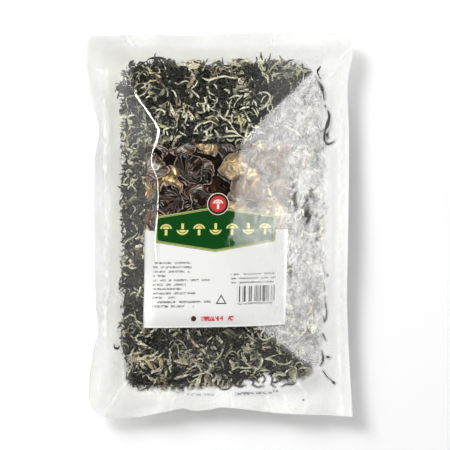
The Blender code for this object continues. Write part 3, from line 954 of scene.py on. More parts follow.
def build_shreds(material):
    rng = np.random.default_rng(2207)
    share = 1.0

    def batch(name, count, segments, length, spread, width, width_spread, deep, side=1,
              ragged=1.5, wiggle=0.2, flat=0.6, curl=1.0, keep=clear_of_label, smooth=False,
              cupped=False, pale=0.27, bright=0.0, power=1.6, reach=1.0, top_tone=0.90,
              thinned=None):
        places = spread_points(rng, int(count * share), ragged, keep)
        if thinned:
            known = ((places[:, 0] > -70) & (places[:, 0] < 45) & (places[:, 1] > 80)
                     | (places[:, 0] > -90) & (places[:, 0] < 70) & (places[:, 1] < -104))
            places = places[~known | (rng.random(len(places)) < thinned)]
        n = len(places)
        lengths = np.clip(rng.lognormal(math.log(length), spread, n), 3.5, 36)
        widths = np.clip(rng.lognormal(math.log(width), width_spread, n), 0.7, 5.5)
        if side > 0:
            depth_of = under_front(rng, n, deep, power)
        else:
            depth_of = over_back(rng, n, deep)
        # Patches of mostly pale and mostly dark shreds, and more pale faces and paler tones towards
        # the bottom; that rise towards the bottom is painted light for the low slope, which faces
        # away from the key
        patch = (0.6 * noise(places[:, 0], places[:, 1], 15, 71)
                 + 0.5 * noise(places[:, 0], places[:, 1], 6, 72)
                 + 0.15 * smooth_step((-90 - places[:, 1]) / 30))
        pale_up = np.clip(pale + 0.75 * patch, 0.03, 0.97)
        slope = 23.4 + 0.30 * (104.5 - places[:, 0]) < roof_height(*places.T) + 0.6
        pale_up = np.where(slope, pale_up - 0.22, pale_up)
        upper, band = places[:, 1] > 84, places[:, 0] < -75
        pale_up = pale_up - 0.10 * (upper & ~band) - 0.06 * band
        rings = strips(rng, places, lengths, widths, segments, depth_of, pale_up, wiggle, flat,
                       curl, cupped, reach)
        dark_tone = np.clip(rng.random(n) ** 1.5 + 0.15 * patch, 0, 1)
        pale_tone = np.clip(bright + (1 - bright) * rng.beta(1.6, 1.5, n) + 0.1 * patch, 0,
                            top_tone)
        pale_tone = np.maximum(pale_tone - 0.09 * (upper | band), 0)
        pale_tone[rng.random(n) < 0.03] = 0.94
        strips_object(name, rng, rings, segments, dark_tone, pale_tone, material, smooth)

    batch("upper_strips_a", 1290, 12, 17, 0.40, 2.2, 0.35, 8.0, cupped=True, curl=0.8)
    batch("upper_strips_b", 2000, 11, 13, 0.40, 1.2, 0.30, 7.0, wiggle=0.35)
    batch("upper_flakes", 800, 9, 10, 0.30, 3.2, 0.25, 7.0, flat=0.45, curl=0.5, cupped=True,
          pale=0.18, reach=0.6, top_tone=1.0)
    batch("upper_crumbs", 1300, 5, 6.0, 0.30, 1.3, 0.30, 6.0, flat=0.9)
    batch("upper_long_strips", 500, 14, 18, 0.30, 1.55, 0.25, 2.4, flat=0.35, curl=1.1,
          cupped=True, pale=0.50, bright=0.16, power=1.2, reach=0.4, thinned=0.5)
    batch("lower_shreds", 2000, 5, 15, 0.35, 2.4, 0.25, 6.0, side=-1, ragged=2.5, keep=None)


# Shreds that stand out one by one: width, tone (dark face up below 0), points along it
PLACED = [
    (3, -0.5, [(-73.5, 164.5), (-68.5, 167), (-62.5, 167.5), (-57.5, 166.5), (-53.5, 163.5),
              (-50.5, 160.5)]),
    (1.8, -0.4, [(-67.5, 159.5), (-65.5, 164.5), (-65.5, 170.5), (-64.5, 172.5)]),
    (1.5, -0.4, [(-86.5, 156.5), (-80.5, 159.5), (-72.5, 164.5)]),
    (1.3, 0.35, [(-80.5, 143.5), (-81.5, 148.5), (-79.5, 151.5), (-75.5, 154), (-72.5, 152.5),
              (-71.5, 148.5)]),
    (3.2, 0.93, [(-71.5, 152.5), (-65.5, 150.5), (-59.5, 147.5)]),
    (1.4, 0.93, [(-79.5, 141.5), (-73.5, 141.5), (-68.5, 143.5), (-62.5, 144.5)]),
    (4, -1, [(-60.5, 146.5), (-58.5, 141.5), (-54.5, 135.5)]),
    (1.2, 0.3, [(-57.5, 140.5), (-55.5, 137.5), (-52.5, 135.5)]),
    (1.6, 0.45, [(-54.5, 136.5), (-52.5, 132.5), (-52.5, 127.5)]),
    (1.8, 0.6, [(-49.5, 134.5), (-46.5, 133.5), (-44.5, 129.5), (-43.5, 126.5)]),
    (3.6, 0.6, [(-51.5, 122.5), (-48.5, 115.5), (-45, 107.5)]),
    (7, 0.88, [(-42.5, 127.5), (-42.5, 117.5), (-43.5, 109.5), (-43, 102.5)]),
    (4.2, 1, [(-36.5, 121.5), (-35, 114.5), (-38, 106.5)]),
    (1.1, 0.5, [(-59.5, 117.5), (-55.5, 120.5), (-51.5, 123.5)]),
    (2.2, 0.3, [(-69.5, 115.5), (-65.5, 116.5), (-62.5, 113.5)]),
    (2.4, 0.85, [(-36.5, 106), (-34.5, 108), (-32.5, 106)]),
    (2.4, 1, [(-64.5, 99.5), (-60.5, 100.5), (-57.5, 97.5), (-52.5, 98.5)]),
    (2.4, 0.5, [(-29.5, 154.5), (-27.5, 149.5), (-25.5, 144.5)]),
    (4, 0.93, [(-26, 146.5), (-29.5, 141.5), (-33, 136.5)]),
    (1.6, 0.7, [(-22.5, 143.5), (-25.5, 138.5), (-29.5, 135.5)]),
    (1.9, 0.85, [(-28.5, 134.5), (-25.5, 131.5), (-22.5, 128.5), (-20.5, 126)]),
    (3, 0.7, [(-16.5, 127.5), (-14, 122.5), (-16.5, 117.5), (-15.5, 111.5)]),
    (2.2, 0.8, [(-12.5, 120.5), (-11.5, 112.5)]),
    (1.3, 0.7, [(-16.5, 121), (-21.5, 120)]),
    (1.1, 0.85, [(-11.5, 118.5), (-8.5, 114.5), (-4.5, 113.5)]),
    (1.7, 0.6, [(-12.5, 134.5), (-10.5, 131.5), (-5.5, 129)]),
    (2.3, 0.72, [(-18.5, 147), (-12.5, 144.5), (-6.5, 146), (-0.5, 147.5), (5.5, 148.2),
              (11.5, 146.5), (17.5, 147)]),
    (1.7, 0.7, [(15.5, 148.5), (20.5, 143.5), (23.5, 141.5), (25, 137.5)]),
    (2, 0.5, [(-7.5, 140.5), (-4.5, 138.5), (-3.5, 135.5)]),
    (2.3, 0.78, [(-26, 92.5), (-23.5, 97.5), (-19.5, 100), (-14.5, 101.5), (-10.5, 103),
              (-6.5, 101.5), (-2, 98)]),
    (2.6, 0.8, [(-20, 95), (-15.5, 93), (-11.5, 94.5), (-9, 97.5)]),
    (1.4, 0.65, [(-16.5, 105.5), (-11.5, 107), (-7.5, 108), (-4.5, 106.5), (-1.5, 102.5)]),
    (2.1, 0.75, [(-6, 94.5), (-2.5, 89.5), (0, 87)]),
    (1.2, 0.6, [(-27.5, 91), (-20.5, 91)]),
    (2.2, 0.8, [(-19, 84), (-14.5, 84.5), (-12.5, 87.5), (-7.5, 90)]),
    (2.1, 0.7, [(-55.5, 88.5), (-55.5, 94.5), (-52.5, 96), (-49, 96.5)]),
    (1.7, 0.85, [(-53.5, 93.5), (-51.5, 88.5)]),
    (2.6, 0.6, [(-48.5, 83.5), (-47.5, 89.5), (-45.5, 94.5)]),
    (1.9, 0.85, [(-46, 86.5), (-43.5, 91.5), (-42.5, 95.5)]),
    (1.6, 0.7, [(-40.5, 92.5), (-37.5, 90.5), (-33.5, 88.5)]),
    (1.2, 0.5, [(-39.5, 99.5), (-36.5, 98.5), (-34.5, 93.5)]),
    (2, 0.9, [(-43.5, 83), (-44.5, 87)]),
    (5.5, 0.55, [(-43.5, 159.5), (-36.5, 161), (-29.5, 159.5), (-23.5, 160.5)]),
    (4.5, 0.62, [(-33.5, 158.5), (-26.5, 157.5), (-20.5, 160.5)]),
    (1.7, 0.93, [(-33.5, 163.5), (-26.5, 165), (-20.5, 162.5)]),
    (3.5, 0.45, [(8.5, 162.5), (15.5, 160.5), (22.5, 159.5)]),
    (4, 0.6, [(18.5, 162.5), (26.5, 163.5), (32.5, 162)]),
    (2, -0.3, [(36.5, 157.5), (37, 163.5), (35.5, 168.5)]),
    (2.2, -0.3, [(42, 164.5), (40.5, 169.5), (40.5, 173.5)]),
    (1.6, -0.3, [(36.5, 165.5), (33.5, 159.5), (31, 155.5)]),
    (5, 0.62, [(37, 165.5), (39.5, 159.5), (42, 153.5)]),
    (1.7, 0.7, [(48, 151.5), (51.5, 157.5), (55, 161.5)]),
    (2.3, 0.4, [(60.5, 155.5), (67.5, 157), (73.5, 155.5)]),
    (2.2, 0.25, [(61.5, 151.5), (66.5, 150.5), (71.5, 152)]),
    (1.4, 0.25, [(62.5, 147.5), (68.5, 148.5), (72.5, 146.5)]),
    (2.4, 0.6, [(3.5, 135.5), (7.5, 133.5), (9, 130.5)]),
    (3, 0.55, [(18.5, 133.5), (23.5, 134), (28.5, 135)]),
    (2.2, 0.65, [(8.5, 125), (12.5, 127.5), (16.5, 128.5), (22.5, 127.5), (26.5, 129.5),
              (29, 131)]),
    (1.6, 0.5, [(8.5, 114.5), (9.5, 121.5), (11.5, 125.5)]),
    (2, 0.85, [(18.5, 114.5), (23.5, 116.5), (29, 117.2)]),
    (1.2, 0.4, [(23.5, 118.5), (23.5, 125)]),
    (1.8, 0.72, [(36.5, 130), (41.5, 132), (46.5, 131.5), (49.5, 127.5), (49.5, 121.5),
              (46, 116.5)]),
    (1.5, 0.6, [(40, 121.5), (42.5, 126.5), (46, 129)]),
    (1.4, 0.65, [(43.5, 118.5), (46.5, 121.5), (48.5, 125)]),
    (2.4, 0.65, [(32, 124.5), (34.5, 121.5), (36, 117.5)]),
    (1.4, 0.65, [(31, 117), (34.5, 112.5), (37, 107.5)]),
    (1.7, 0.7, [(35, 116.5), (38, 110.5)]),
    (2.3, 0.85, [(25, 110.5), (27.5, 105.5), (30, 102)]),
    (7.5, 1, [(16.5, 109), (20, 105.5), (24, 100)]),
    (3.6, 0.8, [(27, 100.5), (31.5, 98), (38.5, 97)]),
    (2, 0.4, [(20.5, 98.5), (20.5, 91.5)]),
    (3, 0.6, [(-3.5, 113.5), (0.5, 108.5), (5, 103.5)]),
    (2, 0.72, [(3, 106), (8.5, 102.5), (11.5, 97.5), (16.5, 91.5)]),
    (2.4, 0.6, [(8, 114.5), (6, 109.5), (4, 106.5)]),
    (2.1, 0.75, [(7, 93), (13.5, 92.5), (17.5, 89.5), (23.5, 86.5)]),
    (2, 0.7, [(-5, 87.5), (1.5, 87), (7.5, 88), (13.5, 88.5), (19.5, 88)]),
    (2.1, 0.55, [(22, 86), (27.5, 87.5), (31, 91.5)]),
    (1.9, 0.75, [(6, 85), (10.5, 83.5), (14, 86.5)]),
    (2.1, 0.6, [(-83, -117.5), (-77.5, -117.5), (-72, -119.5)]),
    (2, 0.5, [(-88.5, -135.5), (-88.5, -127.5), (-85.5, -121)]),
    (2.1, 0.8, [(-70.5, -130.5), (-65.5, -127.5), (-61.5, -124)]),
    (3.4, 0.93, [(-62, -130.5), (-58.5, -135.5), (-59, -141.5)]),
    (1.2, 0.7, [(-63, -131.5), (-60.5, -134.5), (-60.5, -139.5)]),
    (1.7, 0.75, [(-49, -146.5), (-50.5, -141.5), (-46.5, -137)]),
    (2.6, 0.93, [(-29.5, -111.5), (-25.5, -117.5), (-21, -121)]),
    (1.2, 0.8, [(-26.5, -117.5), (-23.5, -120), (-20.5, -120.5)]),
    (2.1, 0.85, [(-14, -116), (-11.5, -112.5), (-8, -109.5)]),
    (2.3, 0.85, [(-21, -123), (-17.5, -124), (-14.5, -127.5)]),
    (1.6, 0.7, [(-35, -127.5), (-32.5, -123.5), (-27.5, -123)]),
    (2.7, 0.65, [(-46, -153), (-39.5, -150.5), (-31.5, -148.5)]),
    (1.8, 0.6, [(-28.5, -151), (-21.5, -148.5), (-15.5, -146.5), (-10.5, -142.5), (-7, -135.5)]),
    (2.5, 0.75, [(-25.5, -136.5), (-21.5, -140.5), (-19, -145.5)]),
    (3.6, 1, [(-53, -161.5), (-49.5, -160.5), (-45.5, -162.5)]),
    (1.6, 0.4, [(-10.5, -156), (-4.5, -161.5), (2.5, -163), (7.5, -161.5), (10, -158), (8, -155)]),
    (1.4, 0.35, [(4, -132.5), (9.2, -125.5), (14.2, -125), (19, -131.5)]),
    (1.3, 0.45, [(19, -123.5), (27.5, -122.5), (35.5, -121)]),
    (1.9, 0.6, [(36.5, -105), (39.5, -111.5), (44.5, -113), (52.5, -109)]),
    (1.7, 0.65, [(52, -132.5), (58, -137.5), (66.5, -137.5), (72, -133.5)]),
    (1.5, 0.6, [(45.5, -131.5), (53.5, -129), (61, -125)]),
    (2.3, 0.5, [(11, -144.5), (18, -141), (25.5, -142), (32.5, -140.5)]),
    (4, 0.5, [(-4.5, -108.5), (-1.5, -112.5), (2, -116.5)]),
    (3.6, 0.45, [(21, -125.5), (23, -130.5), (26, -136)]),
    (1.3, 0.4, [(22.5, -154.5), (29.5, -151.5), (34.5, -151), (36.5, -156.5), (41.5, -160.5)]),
    (4.5, 0.5, [(51, -151.5), (57.5, -147.5), (65.5, -149.5)]),
    (1.5, 0.5, [(81.5, -141), (88.5, -144.5), (95, -146.5)]),
    (1.5, 0.6, [(78.5, -148.5), (85.5, -151), (92.5, -150.5)]),
    (2, 0.5, [(-92.5, 104.5), (-89.5, 99.5), (-84.5, 97.5)]),
    (1.6, 0.6, [(-77.5, 101.5), (-74.5, 99.5), (-72.5, 99)]),
    (1.8, 0.5, [(-86.5, 38.5), (-89.5, 41.5), (-87.5, 45.5), (-83.5, 44.5)]),
    (1.7, 0.45, [(-96.5, -20.5), (-93.5, -15.5), (-86.5, -11.5), (-81.5, -6.5)]),
    (1.6, 0.5, [(-94.5, 53.5), (-90.5, 55.5), (-87.5, 52.5)]),
    (1.5, 0.5, [(-87.5, 20.5), (-84.5, 16.5), (-86.5, 12.5)]),
    (1.7, 0.5, [(-92.5, -39.5), (-88.5, -42.5), (-82.5, -41.5)]),
    (1.5, 0.45, [(-90.5, -70.5), (-86.5, -66.5), (-81.5, -67.5)]),
    (1.5, 0.5, [(-93.5, -92.5), (-89.5, -88.5), (-83.5, -90.5)]),
]


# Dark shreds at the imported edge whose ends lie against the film: width, tone, points along
EDGE_SHREDS = [
    (2.2, -0.7, [(102.9, 78.8), (102.5, 77.4), (102.0, 76.0)]),
    (1.1, -0.6, [(100.6, 61.2), (103.4, 60.8), (104.5, 59.4), (103.7, 57.2)]),
    (1.7, -0.7, [(103.9, 119.9), (104.6, 118.8), (105.1, 117.6)]),
    (1.2, -0.6, [(101.6, -46.2), (105.4, -48.2), (107.2, -49.8), (104.6, -51.8)]),
    (1.0, -0.7, [(102.2, -56.6), (103.4, -61.0), (103.5, -65.4)]),
    (1.0, -0.6, [(97.6, 92.5), (101.5, 94.5), (104.5, 96.0)]),
    (1.1, -0.5, [(100.0, -88.0), (102.6, -91.0), (103.2, -95.5)]),
    (1.6, -0.7, [(-6.0, -157.5), (-2.0, -160.6), (1.0, -163.4), (5.5, -163.6), (9.0, -162.0),
                 (9.9, -159.1), (7.4, -156.3)]),
    (1.5, -0.6, [(18.4, -152.5), (27.3, -152.4), (33.4, -155.6), (32.0, -158.9),
                 (37.0, -161.5), (42.9, -160.6)]),
    (1.7, -0.5, [(24.6, -147.4), (31.9, -150.9), (38.3, -156.4)]),
    (1.5, -0.7, [(49.2, -146.6), (51.9, -152.4), (51.1, -158.8), (54.4, -161.4)]),
    (1.8, -0.6, [(54.0, -156.6), (59.7, -154.4), (65.0, -150.2), (67.6, -155.4)]),
    (1.4, -0.5, [(38.0, -146.0), (43.0, -149.2), (44.6, -154.0), (42.0, -157.0)]),
    (1.6, -0.6, [(12.0, -155.5), (15.4, -159.5), (20.6, -161.2), (24.6, -159.4)]),
    (1.5, -0.6, [(61.5, -160.6), (66.0, -158.4), (71.6, -158.9), (75.4, -156.2)]),
]


def build_placed(material):
    """Single shreds close under the front film, each where the real one lies."""
    rng = np.random.default_rng(404)
    shreds = PLACED + EDGE_SHREDS
    n, segments = len(shreds), 14
    x, y = np.empty((n, segments + 1)), np.empty((n, segments + 1))
    for i, (_, _, points) in enumerate(shreds):
        points = np.array(points, float)
        along = np.concatenate([[0], np.cumsum(np.linalg.norm(np.diff(points, axis=0), axis=1))])
        t = np.linspace(0, along[-1], segments + 1)
        x[i] = through(list(zip(along, points[:, 0])), t)
        y[i] = through(list(zip(along, points[:, 1])), t)
    s = np.linspace(0, 1, segments + 1)[None, :]
    widths = 0.88 * np.array([p[0] for p in shreds])[:, None]
    tones = np.array([p[1] for p in shreds])
    lopsided = s + rng.uniform(-0.2, 0.2, (n, 1)) * np.sin(np.pi * s)
    taper = (1 - np.abs(2 * lopsided - 1) ** rng.uniform(2.2, 5.0, (n, 1))) ** 0.6
    taper = taper * (1 + 0.15 * np.sin(s * rng.uniform(8, 20, (n, 1)) + rng.uniform(0, 6, (n, 1))))
    half = widths * np.maximum(taper, 0.12) / 2
    thick = np.full_like(half, 0.13)
    roll = np.where(tones < 0, 0, np.pi)[:, None] + rng.normal(0, 0.22, (n, 1)) + 0.35 * np.sin(
        4 * s + rng.uniform(0, 6, (n, 1)))
    sunk = 0.38 + thick + half * (np.abs(np.sin(roll)) + 0.25) + rng.uniform(0, 0.5, (n, 1))
    z = front_height(x, y) - sunk
    z = np.maximum(z, back_height(x, y) + 0.8)
    cup = rng.normal(0, 0.35, (n, 1)) + 0.2 * np.sin(5 * s + rng.uniform(0, 6, (n, 1)))
    rings = ribbon(x, y, z, half, thick, roll, cup)
    far = smooth_step((x.mean(1) - 30) / 25) * smooth_step((y.mean(1) - 125) / 12)
    pale = np.where(tones > 0.87, tones, 0.86 * tones) * (1 - 0.35 * far)
    strips_object("placed_shreds", rng, rings, segments, np.clip(-tones, 0, 1),
                  np.clip(pale, 0, 1), material, False)


def build_core():
    """One closed dark body inside the shreds, so that no light comes through."""
    columns, rows = 60, 90
    u, v = np.meshgrid(np.linspace(0, 1, columns), np.linspace(0, 1, rows), indexing="ij")
    y = -158 + 318 * v.ravel()
    left, right = through(FILL_LEFT, y) + 4, through(FILL_RIGHT, y) - 4
    x = left + (right - left) * u.ravel()
    low, high = through(FILL_BOTTOM, x) + 4, through(FILL_TOP, x) - 4
    low = low + 8 * np.exp(-(((x - 42) / 24) ** 2))
    y = low + (high - low) * v.ravel()
    middle = (front_height(x, y, False) + back_height(x, y)) / 2
    top = np.maximum(front_height(x, y, False) - 8.5 + 1.6 * noise(x, y, 6, 61), middle + 0.3)
    bottom = np.minimum(back_height(x, y) + 6.5 + 1.2 * noise(x, y, 6, 62), middle - 0.3)
    n = columns * rows
    points = np.concatenate([np.stack([x, y, top], 1), np.stack([x, y, bottom], 1)])
    quads = grid_quads(columns, rows)
    i = np.arange(columns - 1) * rows
    j = np.arange(rows - 1)
    last = (columns - 1) * rows
    walls = [np.stack([i, i + n, i + rows + n, i + rows], 1)[:, ::-1],
             np.stack([i, i + n, i + rows + n, i + rows], 1) + rows - 1,
             np.stack([j, j + 1, j + 1 + n, j + n], 1)[:, ::-1],
             np.stack([j, j + 1, j + 1 + n, j + n], 1) + last]
    faces = np.concatenate([quads, quads[:, ::-1] + n, *walls])
    obj = mesh_object("deep_shreds", points, faces)
    obj.data.materials.append(core_material())
    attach(obj, "root")
    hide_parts("packed_shreds")


# ---------------------------------------------------------------------------
# Label
# ---------------------------------------------------------------------------


def build_label():
    columns, rows = 61, 76
    u, v = np.meshgrid(np.linspace(0, 1, columns), np.linspace(0, 1, rows), indexing="ij")
    u, v = u.ravel(), v.ravel()
    y = LABEL_Y[0] + (LABEL_Y[1] - LABEL_Y[0]) * v + 3.0 * (1 - v) * u * u
    left, right = -76.3 + 2.5 * v, 64.1 + 5.0 * v
    x = left + (right - left) * u
    z = front_height(x, y) - 0.55
    points = np.concatenate([np.stack([x, y, z], 1), np.stack([x, y, z - 0.15], 1)])
    n = columns * rows
    quads = grid_quads(columns, rows)
    i, j = np.arange(columns - 1) * rows, np.arange(rows - 1)
    last = (columns - 1) * rows
    walls = [np.stack([i, i + n, i + rows + n, i + rows], 1)[:, ::-1],
             np.stack([i, i + n, i + rows + n, i + rows], 1) + rows - 1,
             np.stack([j, j + 1, j + 1 + n, j + n], 1)[:, ::-1],
             np.stack([j, j + 1, j + 1 + n, j + n], 1) + last]
    faces = np.concatenate([quads, quads[:, ::-1] + n, *walls])
    obj = mesh_object("printed_label", points, faces)
    uv = np.stack([np.concatenate([u, u]), np.concatenate([v, v])], 1)
    back = np.arange(len(faces)) >= len(quads)
    corners = uv[faces]
    corners[back] = (0.5, 0.06)
    set_uv(obj, corners.reshape(-1, 2))
    obj.data.materials.append(label_material())
    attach(obj, "root")
    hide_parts("label")


def product(tree, *factors):
    result = factors[0]
    for other in factors[1:]:
        result = maths(tree, "MULTIPLY", result, other)
    return result


def box_mask(tree, x, y, low_x, high_x, low_y, high_y):
    """1 inside a rectangle of the label, 0 outside; all in millimetres."""
    return product(tree, maths(tree, "GREATER_THAN", x, low_x), maths(tree, "LESS_THAN", x, high_x),
                   maths(tree, "GREATER_THAN", y, low_y), maths(tree, "LESS_THAN", y, high_y))


def cells(tree, x, y, width, height, seed):
    """A random value for each cell of a grid."""
    place = node(tree, "CombineXYZ",
                 X=maths(tree, "FLOOR", maths(tree, "DIVIDE", x, width)),
                 Y=maths(tree, "FLOOR", maths(tree, "DIVIDE", y, height)), Z=seed)
    made = tree.nodes.new("ShaderNodeTexWhiteNoise")
    made.noise_dimensions = "3D"
    tree.links.new(place.outputs[0], made.inputs["Vector"])
    return made.outputs["Value"]


def print_rows(tree, x, y, colour, ink, box, pitch, letter, seed, shortest):
    """Rows of meaningless specks, as small print looks from afar."""
    low_x, high_x, low_y, high_y = box
    up = maths(tree, "SUBTRACT", y, low_y)
    phase = maths(tree, "FRACT", maths(tree, "DIVIDE", up, pitch))
    inside = maths(tree, "LESS_THAN", phase, letter[1] * 3 / pitch)
    length = maths(tree, "MULTIPLY_ADD", cells(tree, x, up, 1e4, pitch, seed + 0.5),
                   (high_x - low_x) * (1 - shortest), low_x + (high_x - low_x) * shortest)
    within = maths(tree, "LESS_THAN", x, length)
    speck = maths(tree, "GREATER_THAN", cells(tree, x, up, letter[0], letter[1], seed + 1.5), 0.40)
    word = maths(tree, "GREATER_THAN", cells(tree, x, up, letter[0] * 5, pitch, seed + 2.5), 0.16)
    mask = product(tree, inside, within, speck, word,
                   box_mask(tree, x, y, low_x, high_x, low_y, high_y))
    return mixed(tree, mask, colour, ink)


def label_material():
    """Coated paper: a picture of dark ear-like cups, a plain green plaque with a row of
    simple gold ornaments, and rows of specks for print. Nothing on it can be read."""
    made, tree, out = new_material("label_print")
    uv = tree.nodes.new("ShaderNodeUVMap")
    uv.uv_map = "OFBake"
    size = node(tree, "Mapping", Vector=uv.outputs[0], Scale=(143.0, 180.0, 1.0))
    x, y, _ = split(tree, size.outputs[0])  # millimetres from the label's lower left
    paper_grain = node(tree, "TexNoise", Vector=size.outputs[0], Scale=3.0, Detail=3.0)
    paper = ramped(tree, paper_grain.outputs["Fac"],
                   [(0.3, (0.79, 0.79, 0.775)), (0.7, (0.835, 0.835, 0.82))])
    # Painted shade: the paper is darker along its left edge in its upper part
    turned = ramped(tree, maths(tree, "DIVIDE", x, 40.0),
                    [(0.26, (0.80, 0.80, 0.79)), (0.42, (1.0, 1.0, 1.0))])
    upper = ramped(tree, maths(tree, "DIVIDE", y, 100.0), [(0.30, (0, 0, 0)), (0.62, (1, 1, 1))])
    paper = mixed(tree, upper, paper, vector_maths(tree, "MULTIPLY", paper, turned).outputs[0])
    colour = mixed(tree, maths(tree, "GREATER_THAN", y, 95.0), paper,
                   picture(tree, size.outputs[0]))
    grey = (0.16, 0.16, 0.17)
    colour = print_rows(tree, x, y, colour, grey, (9.0, 69.0, 20.0, 66.5), 4.25, (0.55, 0.72),
                        3.0, 0.30)
    colour = print_rows(tree, x, y, colour, grey, (86.5, 133.5, 42.5, 54.5), 4.1, (0.5, 0.6),
                        23.0, 0.85)
    colour = print_rows(tree, x, y, colour, grey, (93.5, 131.0, 21.6, 23.6), 3.0, (0.7, 0.62),
                        43.0, 0.98)
    colour = print_rows(tree, x, y, colour, (0.62, 0.06, 0.07), (58.0, 91.5, 6.3, 11.3), 6.0,
                        (1.0, 1.5), 63.0, 0.98)
    bar = maths(tree, "GREATER_THAN", cells(tree, x, y, 0.62, 1e4, 83.0), 0.48)
    bars = maths(tree, "MULTIPLY", bar, box_mask(tree, x, y, 93.5, 131.6, 24.4, 40.0))
    colour = mixed(tree, bars, colour, (0.035, 0.035, 0.04))
    colour = triangle_mark(tree, x, y, colour)
    colour = disc(tree, x, y, colour, 50.6, 8.8, 2.7, (0.10, 0.02, 0.02))
    colour = plaque(tree, x, y, colour)
    colour = ornaments(tree, x, y, colour)
    colour = disc(tree, x, y, colour, 72.8, 121.0, 10.8, (0.80, 0.78, 0.60))
    colour = disc(tree, x, y, colour, 72.8, 121.0, 10.1, (0.02, 0.018, 0.018))
    colour = disc(tree, x, y, colour, 72.8, 121.0, 8.0, (0.58, 0.05, 0.05))
    badge = mushroom(tree, maths(tree, "SUBTRACT", x, 72.8), maths(tree, "SUBTRACT", y, 121.0),
                     0.85)
    colour = mixed(tree, badge, colour, (0.85, 0.82, 0.76))
    shader = node(tree, "BsdfPrincipled", Base_Color=colour, Roughness=0.6,
                  Specular_IOR_Level=0.0)
    tree.links.new(shader.outputs[0], out.inputs["Surface"])
    return made


CUPS = [
    # flesh from the middle of a cup to its rim: dark outside, brown inside, tan, wet grey
    [(0.0, (0.050, 0.028, 0.019)), (0.45, (0.017, 0.010, 0.007)), (0.88, (0.006, 0.004, 0.003)),
     (0.94, (0.06, 0.038, 0.027))],
    [(0.0, (0.090, 0.048, 0.028)), (0.5, (0.14, 0.080, 0.046)), (0.86, (0.050, 0.026, 0.016)),
     (0.94, (0.10, 0.052, 0.032))],
    [(0.0, (0.48, 0.39, 0.22)), (0.5, (0.36, 0.28, 0.15)), (0.85, (0.16, 0.115, 0.06)),
     (0.94, (0.05, 0.028, 0.017))],
    [(0.0, (0.36, 0.38, 0.38)), (0.4, (0.14, 0.13, 0.125)), (0.80, (0.035, 0.022, 0.018)),
     (0.92, (0.09, 0.045, 0.033))],
]


# Where each layer lies in the endless pattern, its cells' size, a cup's reach, and how many
CUP_LAYERS = [((881.0, 559.0, 0.0), 23.0, 15.5, 1.1), ((781.0, 332.0, 0.0), 27.0, 15.0, 0.75),
              ((131.0, 460.0, 0.0), 36.0, 16.5, 0.85)]


def vector_maths(tree, operation, a, b=(0.0, 0.0, 0.0)):
    made = tree.nodes.new("ShaderNodeVectorMath")
    made.operation = operation
    for socket, value in zip(made.inputs, (a, b)):
        if isinstance(value, bpy.types.NodeSocket):
            tree.links.new(value, socket)
        else:
            socket.default_value = value
    return made


